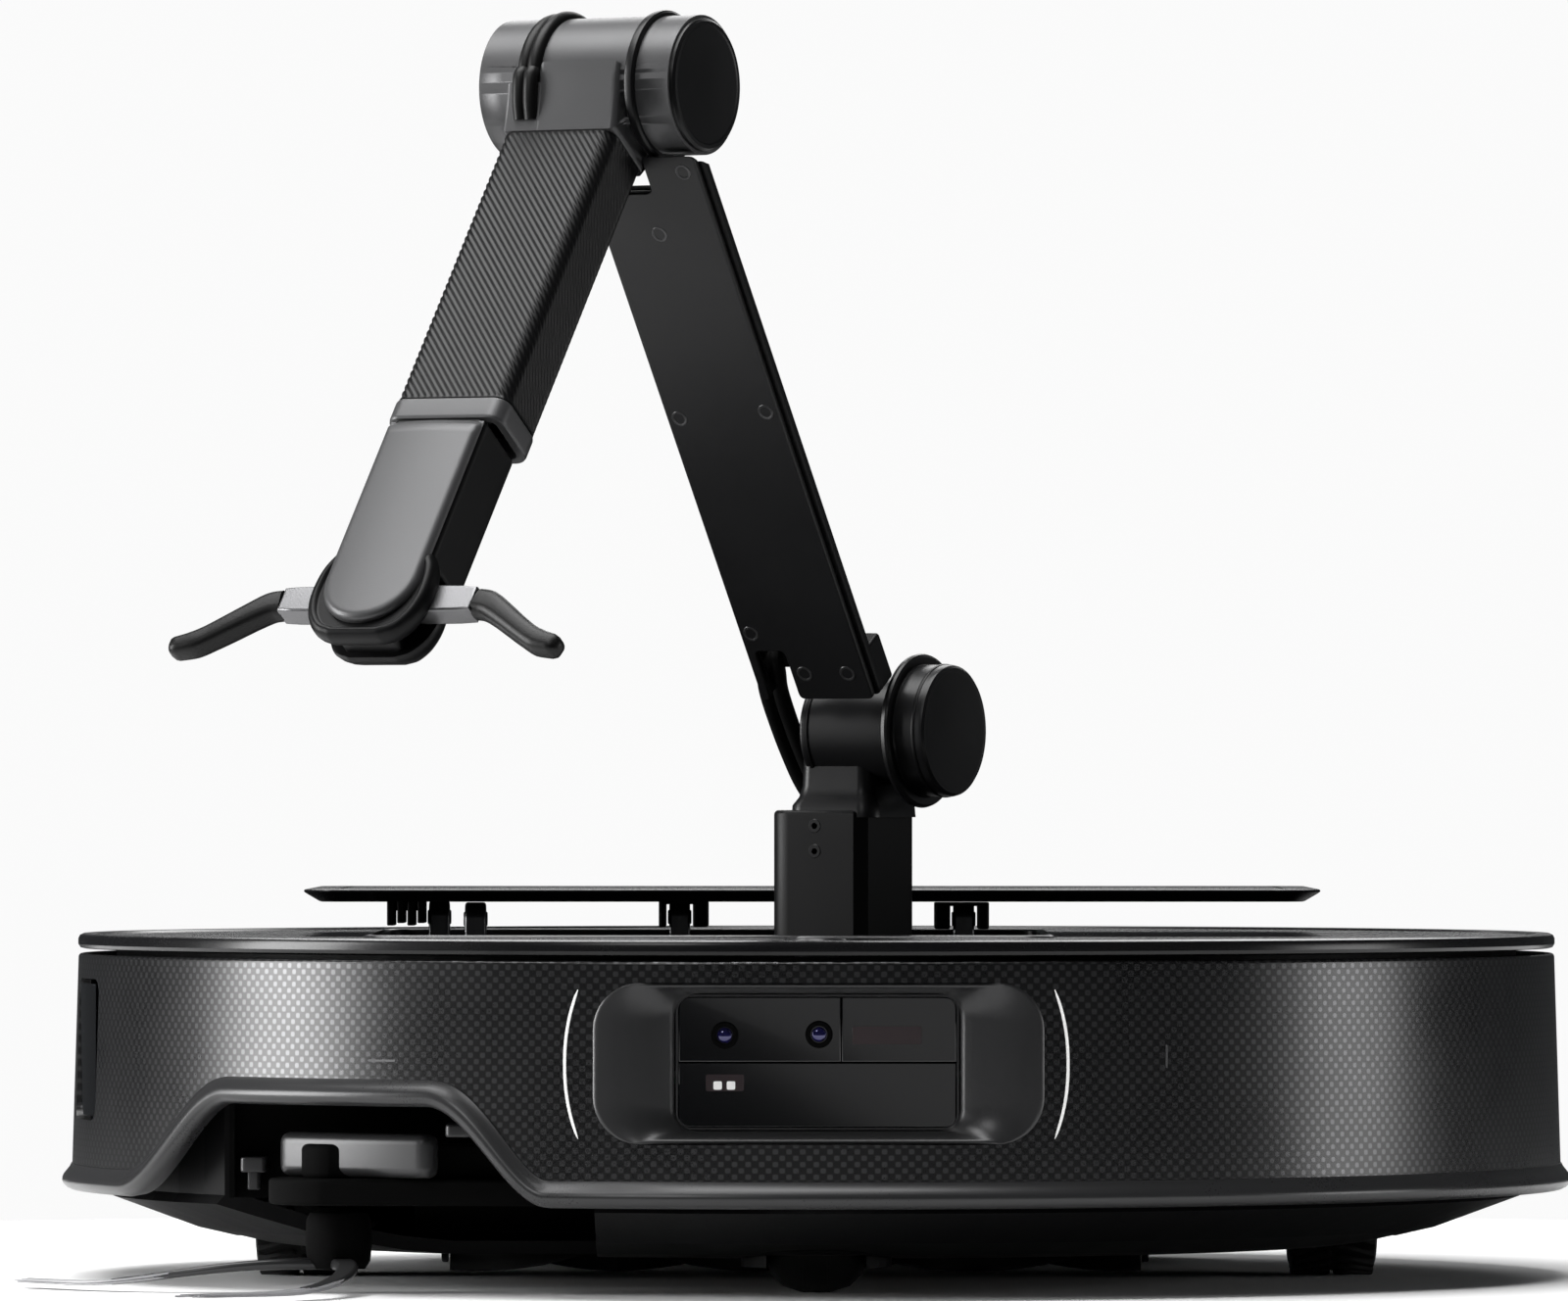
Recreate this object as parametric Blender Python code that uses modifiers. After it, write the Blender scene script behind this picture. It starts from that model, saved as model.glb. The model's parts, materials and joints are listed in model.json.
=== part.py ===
"""A round floor-cleaning robot that carries a folding arm with a two-finger gripper.

Millimetres are used throughout and turned into metres by MM when a mesh is made.
+Z is up, the front is -Y, and the origin is the centre of the flat belly of the chassis.
"""
import math

import bmesh
import bpy
from mathutils import Matrix, Vector

MM = 0.001
GAP = 0.3                     # clearance between neighbouring pieces

# Round body.
RING_STEPS = 80
FLOOR = -8.0                  # the floor, below the belly
DECK_TOP = 72.9
DECK_BOTTOM = 69.4
WALL_OUT = 165.5              # upright wall of the chassis pan
WALL_IN = 162.5
BUMPER_TRAVEL = 3.0
BUMPER_END = -2.0             # where the front half-ring stops
REAR_SHELL_END = BUMPER_END + BUMPER_TRAVEL + 0.5

# Camera recess in the front of the bumper.
RECESS_X = (-50.2, 51.2)
RECESS_Z = (27.1, 63.3)
WINDOW_X = (-31.4, 31.9)
WINDOW_Z = (30.4, 60.5)
STRIP_X = (-55.4, 55.8)
STRIP_Z = (28.3, 61.8)
STRIP_WIDTH = 2.4

# Arm bay in the deck, and the lid that lifts over it.
BAY_LOW = (-104.0, -62.0)
BAY_HIGH = (54.0, 96.0)
BAY_FLOOR = 30.0
LID_LOW = (-121.0, -16.0, 80.3)
LID_HIGH = (119.0, 98.0, 83.3)
LINK_LENGTH = 24.0
LINK_TOP = 76.0
LINK_WIDTH = 5.0
FRONT_LINKS_Y = 14.0
REAR_LINKS_Y = 66.0
FRONT_LINKS_X = (-81.0, 35.0)
REAR_LINKS_X = (-91.0, -33.0)

# Running gear.
WHEEL_RADIUS = 35.0
WHEEL_X = (111.6, 132.0)
WHEEL_Z = FLOOR + WHEEL_RADIUS
SUSPENSION_PIVOT = (38.0, 36.0)     # Y and Z
CASTER = (0.0, -118.0)
CASTER_TRAIL = 1.5
CASTER_RADIUS = 15.0
ROLLER_Y = -22.5
ROLLER_Z = 7.5
ROLLER_RADIUS = 14.0
ROLLERS_X = ((-88.0, -5.4), (-4.6, 78.0))
MOP_X = 56.0
MOP_Y = 88.0
MOP_RADIUS = 51.0
BRUSH_HUB = (-109.0, -118.0)
BRUSH_PIVOT = (-66.0, -126.0)
BRUSH_BLADE_ANGLES = (158.0, 247.0)
BRUSH_REACH = 80.0

# Arm. U runs across the arm, from 0 at the face of the shoulder drum towards the left.
COLUMN = (5.6, -37.5)
COLUMN_U = -31.0
ACROSS = Vector((math.cos(math.radians(30.0)), -0.5, 0.0))
FORWARD = Vector((-0.5, -math.cos(math.radians(30.0)), 0.0))
SHOULDER_Z = 120.5
UPPER_LEAN = 34.05
UPPER_LENGTH = 176.8
FOREARM_LEAN = 143.0
COLUMN_TOP = 102.0
SLAB_U = (-38.4, -7.4)        # the flat upper arm
SLAB_FRONT = -15.6
SLEEVE_U = (-52.2, -22.6)
SLEEVE_Y = (-8.0, 8.8)
SLEEVE_L = (20.0, 97.0)
CABLE_U = -46.7
WRIST_U = -37.9
WRIST_HALF = 12.5
WRIST_START = 103.5
PALM_L = (143.5, 165.0)
FINGER_PIVOT = (11.5, 151.5)
FINGER_Y = 3.0

# Finishes: base colour, roughness, metallic.
BLACK = ((0.012, 0.012, 0.013), 0.45, 0.0)
CHARCOAL = ((0.03, 0.03, 0.032), 0.5, 0.0)
GLOSS = ((0.01, 0.01, 0.012), 0.12, 0.0)
GREY = ((0.16, 0.16, 0.165), 0.4, 0.3)
SILVER = ((0.55, 0.55, 0.56), 0.3, 0.9)
RUBBER = ((0.015, 0.015, 0.015), 0.85, 0.0)
WHITE = ((0.75, 0.75, 0.74), 0.4, 0.0)
FELT = ((0.35, 0.35, 0.36), 0.95, 0.0)
BOARD = ((0.02, 0.12, 0.05), 0.6, 0.0)

WORLD = Matrix.Identity(4)
SIDE = Matrix(((0, 0, 1, 0), (1, 0, 0, 0), (0, 1, 0, 0), (0, 0, 0, 1)))    # outline in Y and Z
FRONT = Matrix(((1, 0, 0, 0), (0, 0, -1, 0), (0, 1, 0, 0), (0, 0, 0, 1)))  # outline in X and Z

for old in list(bpy.data.objects):
    bpy.data.objects.remove(old)

PARTS = bpy.data.collections.new("arm_robot")
CUTTERS = bpy.data.collections.new("cutters")
for new_collection in (PARTS, CUTTERS):
    bpy.context.scene.collection.children.link(new_collection)


# ---------------------------------------------------------------- places and shapes

def arm_frame(lean, forward, height):
    """X across the arm, Z along a link that leans forward from straight up, Y = Z cross X."""
    angle = math.radians(lean)
    along = FORWARD * math.sin(angle) + Vector((0, 0, math.cos(angle)))
    back = along.cross(ACROSS)
    place = Matrix((ACROSS, back, along)).transposed().to_4x4()
    foot = Vector((COLUMN[0], COLUMN[1], height)) + ACROSS * -COLUMN_U + FORWARD * forward
    place.translation = foot * MM
    return place


ELBOW_FORWARD = UPPER_LENGTH * math.sin(math.radians(UPPER_LEAN))
ELBOW_Z = SHOULDER_Z + UPPER_LENGTH * math.cos(math.radians(UPPER_LEAN))
TURRET = arm_frame(0.0, 0.0, 0.0)
SHOULDER = arm_frame(0.0, 0.0, SHOULDER_Z)
UPPER = arm_frame(UPPER_LEAN, 0.0, SHOULDER_Z)
FOREARM = arm_frame(FOREARM_LEAN, ELBOW_FORWARD, ELBOW_Z)


def place_object(name, data, where, at):
    """An object in the parts collection, at a point given in the frame's own axes."""
    item = bpy.data.objects.new(name, data)
    PARTS.objects.link(item)
    item.matrix_world = where @ Matrix.Translation(Vector(at) * MM)
    return item


def finish_mesh(name, shape, where, at):
    """Turn a bmesh into a placed object."""
    mesh = bpy.data.meshes.new(name)
    shape.to_mesh(mesh)
    shape.free()
    return place_object(name, mesh, where, at)


def box(name, low, high, where=WORLD, bevel=0.0, upright_only=False):
    """A block between two corners, with chamfered edges if a bevel is given."""
    low, high = Vector(low), Vector(high)
    shape = bmesh.new()
    bmesh.ops.create_cube(shape, size=1.0, matrix=Matrix.Diagonal((high - low) * MM).to_4x4())
    if bevel:
        edges = shape.edges[:]
        if upright_only:
            edges = [e for e in edges if abs(e.verts[0].co.z - e.verts[1].co.z) > 1e-6]
        bmesh.ops.bevel(shape, geom=edges, offset=bevel * MM, segments=2, affect="EDGES", profile=0.5)
    return finish_mesh(name, shape, where, (low + high) / 2)


def rod(name, radius, start, end, where=WORLD, sides=32, end_radius=None):
    """A cylinder, or a cone if the radius changes, between two points."""
    start, end = Vector(start), Vector(end)
    axis = end - start
    turn = axis.to_track_quat("Z", "Y").to_matrix().to_4x4()
    shape = bmesh.new()
    last = radius if end_radius is None else end_radius
    bmesh.ops.create_cone(shape, cap_ends=True, segments=sides, radius1=radius * MM,
                          radius2=last * MM, depth=axis.length * MM, matrix=turn)
    return finish_mesh(name, shape, where, (start + end) / 2)


def lathe(name, profile, where=WORLD, at=(0, 0, 0), steps=RING_STEPS, closed=True):
    """A profile of (radius, height) points turned about Z; its outer side runs downwards."""
    mesh = bpy.data.meshes.new(name)
    points = [(radius * MM, 0.0, height * MM) for radius, height in profile]
    edges = [(i, i + 1) for i in range(len(points) - 1)]
    if closed:
        edges.append((len(points) - 1, 0))
    mesh.from_pydata(points, edges, [])
    item = place_object(name, mesh, where, at)
    screw = item.modifiers.new("turn", "SCREW")
    screw.steps = steps
    screw.render_steps = steps
    screw.use_merge_vertices = True
    screw.merge_threshold = 0.00001
    return item


def plate(name, outline, low, high, where):
    """A flat outline in X and Y of its frame, from low to high along the frame's Z."""
    curve = bpy.data.curves.new(name, "CURVE")
    curve.dimensions = "2D"
    curve.fill_mode = "BOTH"
    curve.extrude = (high - low) / 2 * MM
    spline = curve.splines.new("POLY")
    spline.points.add(len(outline) - 1)
    for point, (x, y) in zip(spline.points, outline):
        point.co = (x * MM, y * MM, 0.0, 1.0)
    spline.use_cyclic_u = True
    guide = place_object(name + "_curve", curve, where, (0, 0, (low + high) / 2))
    return curve_to_mesh(guide, name)


def curve_to_mesh(guide, name):
    """Replace a curve object by its welded mesh."""
    seen = guide.evaluated_get(bpy.context.evaluated_depsgraph_get())
    mesh = bpy.data.meshes.new_from_object(seen)
    shape = bmesh.new()
    shape.from_mesh(mesh)
    bmesh.ops.remove_doubles(shape, verts=shape.verts[:], dist=0.000001)
    bmesh.ops.recalc_face_normals(shape, faces=shape.faces[:])
    shape.to_mesh(mesh)
    shape.free()
    item = bpy.data.objects.new(name, mesh)
    PARTS.objects.link(item)
    item.matrix_world = guide.matrix_world.copy()
    bpy.data.objects.remove(guide)
    return item


def tube(name, points, radius, where):
    """A round cable through a list of points."""
    curve = bpy.data.curves.new(name, "CURVE")
    curve.dimensions = "3D"
    curve.bevel_depth = radius * MM
    curve.bevel_resolution = 2
    curve.use_fill_caps = True
    spline = curve.splines.new("POLY")
    spline.points.add(len(points) - 1)
    for point, place in zip(spline.points, points):
        point.co = (*(Vector(place) * MM), 1.0)
    return place_object(name, curve, where, (0, 0, 0))


def arc(centre, radius, start, end, count):
    """Points on a circle, from one angle in degrees to another."""
    angles = [math.radians(start + (end - start) * i / (count - 1)) for i in range(count)]
    return [(centre[0] + radius * math.cos(a), centre[1] + radius * math.sin(a)) for a in angles]


def link_outline(first, first_radius, second, second_radius, count=12):
    """The outline of a belt round two circles."""
    span = Vector(second) - Vector(first)
    heading = math.degrees(math.atan2(span.y, span.x)) - 90.0
    lean = math.degrees(math.asin((first_radius - second_radius) / span.length))
    far = arc(second, second_radius, heading + lean, heading + 180.0 - lean, count)
    near = arc(first, first_radius, heading + 180.0 - lean, heading + 360.0 + lean, count)
    return far + near


def combine(item, tool, operation):
    """Cut, join or keep one shape by another, which becomes a hidden cutter."""
    step = item.modifiers.new(operation.lower(), "BOOLEAN")
    step.operation = operation
    step.solver = "EXACT"
    step.object = tool
    PARTS.objects.unlink(tool)
    CUTTERS.objects.link(tool)
    tool.hide_render = True
    tool.display_type = "WIRE"


def cut(item, *tools):
    """Take one or more shapes away."""
    for tool in tools:
        combine(item, tool, "DIFFERENCE")


def join(item, *tools):
    """Add one or more shapes."""
    for tool in tools:
        combine(item, tool, "UNION")


# ---------------------------------------------------------------- bodies and finishes

def arm_point(where, point):
    """A point of an arm frame, in millimetres in the world."""
    return where @ (Vector(point) * MM) / MM


BODIES = {
    "chassis": (0, 0, 0),
    "bumper_body": (0, -175, 40),
    "front_links": (0, FRONT_LINKS_Y, LINK_TOP - LINK_LENGTH),
    "rear_links": (0, REAR_LINKS_Y, LINK_TOP - LINK_LENGTH),
    "lid": (0, FRONT_LINKS_Y, LINK_TOP),
    "turret": (COLUMN[0], COLUMN[1], BAY_FLOOR),
    "upper_arm": arm_point(SHOULDER, (COLUMN_U, 0, 0)),
    "forearm": arm_point(FOREARM, (COLUMN_U, 0, 0)),
    "wrist": arm_point(FOREARM, (WRIST_U, 0, WRIST_START)),
    "finger_left": arm_point(FOREARM, (WRIST_U - FINGER_PIVOT[0], FINGER_Y, FINGER_PIVOT[1])),
    "finger_right": arm_point(FOREARM, (WRIST_U + FINGER_PIVOT[0], FINGER_Y, FINGER_PIVOT[1])),
    "swing_left": (-108.8, *SUSPENSION_PIVOT),
    "swing_right": (108.8, *SUSPENSION_PIVOT),
    "wheel_left": (-WHEEL_X[0], 0, WHEEL_Z),
    "wheel_right": (WHEEL_X[0], 0, WHEEL_Z),
    "caster": (*CASTER, 0),
    "caster_roll": (0, CASTER[1] + CASTER_TRAIL, FLOOR + CASTER_RADIUS),
    "roller_left_body": (ROLLERS_X[0][0], ROLLER_Y, ROLLER_Z),
    "roller_right_body": (ROLLERS_X[1][0], ROLLER_Y, ROLLER_Z),
    "mop_left_body": (-MOP_X, MOP_Y, 0),
    "mop_right_body": (MOP_X, MOP_Y, 0),
    "brush_swing": (*BRUSH_PIVOT, 12),
    "brush_spin": (*BRUSH_HUB, 0),
    "button": (0, -130, DECK_TOP),
}
PIVOTS = {}
for body_name, body_place in BODIES.items():
    pivot = bpy.data.objects.new("pivot_" + body_name, None)
    pivot.location = Vector(body_place) * MM
    pivot.empty_display_size = 0.01
    PARTS.objects.link(pivot)
    PIVOTS[body_name] = pivot


def add(item, body, look):
    """Give a finished piece its body and its own material."""
    colour, roughness, metallic = look
    material = bpy.data.materials.new(item.name)
    material.use_nodes = True
    shader = material.node_tree.nodes["Principled BSDF"]
    shader.inputs["Base Color"].default_value = (*colour, 1.0)
    shader.inputs["Roughness"].default_value = roughness
    shader.inputs["Metallic"].default_value = metallic
    item.data.materials.clear()
    item.data.materials.append(material)
    pivot = PIVOTS[body]
    item.parent = pivot
    item.matrix_parent_inverse = Matrix.Translation(-pivot.location)
    if item.type == "MESH" and not any(m.type == "SCREW" for m in item.modifiers):
        item.data.shade_smooth()
        item.data.set_sharp_from_angle(angle=math.radians(35.0))


# ---------------------------------------------------------------- round body

def notch_outline():
    """The side-brush notch seen from the front: a flat top with an S-shaped drop at each end."""
    top, bottom = 35.0, 14.0
    left, right = (-155.5, -143.0), (-84.0, -62.0)
    points = []
    for near, far, heights in ((*left, (bottom, top)), (*right, (top, bottom))):
        for i in range(7):
            share = i / 6
            ease = share * share * (3 - 2 * share)
            points.append((near + (far - near) * share, heights[0] + (heights[1] - heights[0]) * ease))
    return [(left[0], 4.0)] + points + [(right[1], 4.0)]


def make_chassis():
    """The pan with its upright wall, the deck, and the fixed rear half of the side wall."""
    pan = lathe("chassis_pan", [
        (WALL_OUT, DECK_BOTTOM - GAP), (WALL_OUT, 13.5), (167.0, 11.4), (147.0, 4.0), (134.0, 1.0),
        (126.0, 0.0), (0.0, 0.0), (0.0, 3.0), (126.0, 3.0), (134.0, 4.2), (146.0, 7.2),
        (WALL_IN, 13.8), (WALL_IN, DECK_BOTTOM - GAP)])
    for side in (-1, 1):
        well = sorted((side * 105.0, side * 136.0))
        cut(pan, box(f"well_{side}", (well[0], -40, -3), (well[1], 50, 12)))
        cut(pan, rod(f"mop_hole_{side}", 6.5, (side * MOP_X, MOP_Y, -3), (side * MOP_X, MOP_Y, 9)))
    cut(pan,
        box("roller_opening", (-90.0, -38.5, -3), (80.5, -6.5, 9)),
        rod("caster_opening", 19.3, (*CASTER, -3), (*CASTER, 9)),
        box("brush_opening", (-140, -175, -3), (-50, -94, 40)),
        box("camera_opening", (-57, -175, 22.5), (58, -150, 66.2)))
    add(pan, "chassis", CHARCOAL)

    deck = lathe("deck", [
        (0, DECK_TOP), (172.6, DECK_TOP), (174.0, 72.2), (174.5, 71.0), (174.1, 69.9),
        (173.0, DECK_BOTTOM), (0, DECK_BOTTOM)], closed=False)
    cut(deck,
        box("bay_cut", (*BAY_LOW, 60), (*BAY_HIGH, 90), bevel=4.0, upright_only=True),
        rod("button_hole", 5.5, (0, -130, 60), (0, -130, 90)))
    add(deck, "chassis", BLACK)

    shell = lathe("rear_shell", [
        (174.6, DECK_BOTTOM - GAP), (175.1, 45.0), (175.8, 21.5), (177.6, 19.2), (178.0, 16.5),
        (176.6, 13.6), (175.0, 12.6), (168.0, 12.6), (168.0, 15.5), (172.3, 17.5), (172.3, 65.8),
        (166.0, 66.2), (166.0, DECK_BOTTOM - GAP)])
    cut(shell, box("front_half", (-200, -200, 0), (200, REAR_SHELL_END, 90)))
    add(shell, "chassis", BLACK)


def make_bumper():
    """The sprung front half-ring with its camera recess, lights and wall sensor."""
    bumper = lathe("bumper", [
        (174.4, 68.2), (175.0, 45.0), (175.8, 21.5), (177.6, 19.2), (178.0, 16.5), (176.6, 13.6),
        (175.0, 12.6), (171.3, 12.6), (171.3, 16.5), (172.6, 20.0), (172.0, 68.2)])
    cut(bumper,
        box("rear_half", (-200, BUMPER_END, 0), (200, 200, 90)),
        plate("notch", notch_outline(), 40, 195, FRONT),
        box("recess_cut", (RECESS_X[0] - GAP, -180, RECESS_Z[0] - GAP),
            (RECESS_X[1] + GAP, -150, RECESS_Z[1] + GAP)),
        box("wall_sensor_cut", (-190, -50.4, 29.6), (-150, -22.6, 62.4)))
    for index, x in enumerate(STRIP_X):
        half = STRIP_WIDTH / 2 + GAP
        cut(bumper, box(f"strip_cut_{index}", (x - half, -180, STRIP_Z[0] - GAP),
                        (x + half, -150, STRIP_Z[1] + GAP)))
    add(bumper, "bumper_body", BLACK)

    recess = box("camera_recess", (RECESS_X[0], -180, RECESS_Z[0]), (RECESS_X[1], -160, RECESS_Z[1]))
    skin = rod("recess_skin", 173.9, (0, 0, 10), (0, 0, 80), sides=RING_STEPS)
    combine(recess, skin, "INTERSECT")
    middle_x = sum(WINDOW_X) / 2
    middle_z = sum(WINDOW_Z) / 2
    cut(recess, box("window_hole", (WINDOW_X[0], -190, WINDOW_Z[0]), (WINDOW_X[1], -150, WINDOW_Z[1])))
    funnel = rod("recess_funnel", 1.0, (middle_x, -178, middle_z), (middle_x, -163, middle_z),
                 sides=4, end_radius=0.62)
    funnel.data.transform(Matrix.Rotation(math.radians(45.0), 4, "Y"))
    funnel.data.transform(Matrix.Diagonal((66.0, 1.0, 22.5, 1.0)))
    cut(recess, funnel)
    add(recess, "bumper_body", GREY)

    window = box("camera_window", (WINDOW_X[0] + GAP, -164, WINDOW_Z[0] + GAP),
                 (WINDOW_X[1] - GAP, -161.5, WINDOW_Z[1] - GAP))
    add(window, "bumper_body", GLOSS)

    for name, x in zip(("light_strip_left", "light_strip_right"), STRIP_X):
        depth = math.sqrt(173.6 ** 2 - x ** 2)
        strip = box(name, (x - STRIP_WIDTH / 2, -depth, STRIP_Z[0]),
                    (x + STRIP_WIDTH / 2, -depth + 3.5, STRIP_Z[1]))
        add(strip, "bumper_body", WHITE)

    sensor = lathe("wall_sensor", [(174.4, 62.0), (174.4, 30.0), (172.5, 30.0), (172.5, 62.0)])
    combine(sensor, box("wall_sensor_part", (-190, -50.0, 20), (-150, -23.0, 80)), "INTERSECT")
    add(sensor, "bumper_body", GLOSS)


def make_inside():
    """What the body holds: arm bay, dust bin, battery, board, fan and brush housing."""
    wall = 1.5
    bay = box("arm_bay", (BAY_LOW[0] - wall, BAY_LOW[1] - wall, BAY_FLOOR),
              (BAY_HIGH[0] + wall, BAY_HIGH[1] + wall, DECK_BOTTOM - GAP))
    cut(bay, box("bay_room", (*BAY_LOW, BAY_FLOOR + 2.0), (*BAY_HIGH, 90)))
    add(bay, "chassis", CHARCOAL)
    add(box("dust_bin", (-64, 102, 30), (64, 146, 66), bevel=3.0), "chassis", GREY)
    add(box("battery_pack", (-50, 102, 7.5), (50, 134, 27), bevel=2.0), "chassis", CHARCOAL)
    add(box("main_board", (-70, -138, 40), (70, -70, 41.6)), "chassis", BOARD)
    add(rod("suction_fan", 24, (86, -92, 16), (86, -92, 38)), "chassis", CHARCOAL)

    housing = box("brush_housing", (-94, -41, 3.4), (84, -4, 26))
    cut(housing,
        rod("brush_tunnel", ROLLER_RADIUS + 2, (-91, ROLLER_Y, ROLLER_Z), (81, ROLLER_Y, ROLLER_Z)),
        box("brush_mouth", (-91, ROLLER_Y - 15, 0), (81, ROLLER_Y + 15, ROLLER_Z)))
    add(housing, "chassis", CHARCOAL)

    cup = rod("caster_housing", 19.0, (*CASTER, 5.0), (*CASTER, 26.0))
    cut(cup,
        rod("caster_room", 17.8, (*CASTER, 0.0), (*CASTER, 24.3)),
        rod("caster_stem_hole", 3.4, (*CASTER, 20.0), (*CASTER, 30.0), sides=16))
    add(cup, "chassis", CHARCOAL)

    bearing = lathe("turret_bearing", [(24, 42.6), (24, 32.3), (21.4, 32.3), (21.4, 42.6)],
                    at=(*COLUMN, 0), steps=32)
    add(bearing, "chassis", SILVER)
    add(rod("power_button", 5.0, (0, -130, 66), (0, -130, 73.6), sides=24), "button", GREY)


# ---------------------------------------------------------------- lid

def make_lid():
    """A plate on four parallel links that swing back and down together."""
    lid = box("lid_plate", LID_LOW, LID_HIGH, bevel=1.2)
    add(lid, "lid", BLACK)
    foot = LINK_TOP - LINK_LENGTH
    rows = (("front", FRONT_LINKS_X, FRONT_LINKS_Y), ("rear", REAR_LINKS_X, REAR_LINKS_Y))
    for row, places, y in rows:
        for side, x in zip(("left", "right"), places):
            outline = link_outline((y, foot), 4.0, (y, LINK_TOP), 4.0, count=9)
            bar = plate(f"{row}_link_{side}", outline, x - LINK_WIDTH / 2, x + LINK_WIDTH / 2, SIDE)
            add(bar, f"{row}_links", SILVER)
    for name, low_x, high_x, slot_x, y in (
            ("lid_bracket_right", 28.0, 41.0, FRONT_LINKS_X[1], FRONT_LINKS_Y),
            ("lid_bracket_middle", -38.0, -26.0, REAR_LINKS_X[1], REAR_LINKS_Y)):
        bracket = box(name, (low_x, y - 6, 73.6), (high_x, y + 6, LID_LOW[2] - GAP))
        half = LINK_WIDTH / 2 + 0.6
        cut(bracket, box(name + "_slot", (slot_x - half, y - 9, 70), (slot_x + half, y + 9, 78.8)))
        cut(bracket, rod(name + "_room", 4.6, (slot_x - half, y, LINK_TOP), (slot_x + half, y, LINK_TOP)))
        add(bracket, "lid", CHARCOAL)
    add(box("lid_bracket_left", (-103.4, 56, 74.0), (-94.2, 72, LID_LOW[2] - GAP)), "lid", CHARCOAL)


# ---------------------------------------------------------------- running gear

def make_drive_wheels():
    """Two wheels on swing arms that drop out of the body."""
    for side, sign in (("left", -1), ("right", 1)):
        arm_x = sorted((sign * 106.8, sign * 110.8))
        outline = link_outline((0.0, WHEEL_Z), 12.0, SUSPENSION_PIVOT, 8.0)
        swing = plate(f"wheel_arm_{side}", outline, arm_x[0], arm_x[1], SIDE)
        join(swing, rod(f"axle_{side}", 4.0, (sign * 108, 0, WHEEL_Z), (sign * 128, 0, WHEEL_Z), sides=16))
        add(swing, f"swing_{side}", CHARCOAL)
        edge = 2.5
        across = Matrix.Translation((0, 0, WHEEL_Z * MM)) @ Matrix.Rotation(math.radians(90), 4, "Y")
        low, high = sorted((sign * WHEEL_X[0], sign * WHEEL_X[1]))
        wheel = lathe(f"drive_wheel_{side}", [
            (WHEEL_RADIUS - edge, high), (WHEEL_RADIUS, high - edge), (WHEEL_RADIUS, low + edge),
            (WHEEL_RADIUS - edge, low), (4.4, low), (4.4, high)], where=across, steps=36)
        add(wheel, f"wheel_{side}", RUBBER)


def make_caster():
    """The front swivelling fork and its wheel."""
    top = 24.0
    fork = rod("caster_fork", 17.2, (*CASTER, -2.0), (*CASTER, top))
    centre_y = CASTER[1] + CASTER_TRAIL
    centre_z = FLOOR + CASTER_RADIUS
    cut(fork,
        box("fork_slot", (-11.4, CASTER[1] - 25, -10), (11.4, CASTER[1] + 25, 22.6)),
        rod("fork_bore", 2.4, (-14.6, centre_y, centre_z), (14.6, centre_y, centre_z), sides=16))
    join(fork, rod("fork_stem", 3.0, (*CASTER, top - 1.0), (*CASTER, 30.0), sides=16))
    add(fork, "caster", CHARCOAL)
    across = Matrix.Translation(Vector((0, centre_y, centre_z)) * MM)
    across = across @ Matrix.Rotation(math.radians(90), 4, "Y")
    wheel = lathe("caster_wheel", [
        (0, 14.0), (2.0, 14.0), (2.0, 11.0), (10.8, 11.0), (14.0, 7.5), (15.0, 3.5), (15.0, -3.5),
        (14.0, -7.5), (10.8, -11.0), (2.0, -11.0), (2.0, -14.0), (0, -14.0)],
        where=across, steps=32, closed=False)
    add(wheel, "caster_roll", RUBBER)


def make_cleaning_gear():
    """Two main rollers, two mop discs, and the side brush on its swinging arm."""
    for side, (low, high) in zip(("left", "right"), ROLLERS_X):
        roller = rod(f"roller_{side}", ROLLER_RADIUS, (low, ROLLER_Y, ROLLER_Z),
                     (high, ROLLER_Y, ROLLER_Z), sides=28)
        add(roller, f"roller_{side}_body", CHARCOAL)
    for side, sign in (("left", -1), ("right", 1)):
        disc = lathe(f"mop_{side}", [
            (0, 9.0), (5.0, 9.0), (5.0, -1.2), (MOP_RADIUS - 1.5, -1.2), (MOP_RADIUS, -2.4),
            (MOP_RADIUS, -3.8), (MOP_RADIUS - 1.5, -5.0), (0, -5.0)],
            at=(sign * MOP_X, MOP_Y, 0), steps=40, closed=False)
        add(disc, f"mop_{side}_body", FELT)

    carrier = plate("side_brush_arm", link_outline(BRUSH_PIVOT, 11.0, BRUSH_HUB, 16.0), 12, 26.5, WORLD)
    cut(carrier, rod("brush_spindle_room", 6.0, (*BRUSH_HUB, 5), (*BRUSH_HUB, 20), sides=20))
    add(carrier, "brush_swing", CHARCOAL)
    brush = rod("side_brush", 11.0, (*BRUSH_HUB, -4.0), (*BRUSH_HUB, 11.4), sides=24)
    join(brush, rod("brush_spindle", 5.4, (*BRUSH_HUB, 8), (*BRUSH_HUB, 18), sides=20))
    for index, angle in enumerate(BRUSH_BLADE_ANGLES):
        join(brush, make_blade(f"blade_{index}", angle))
    add(brush, "brush_spin", RUBBER)


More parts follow.
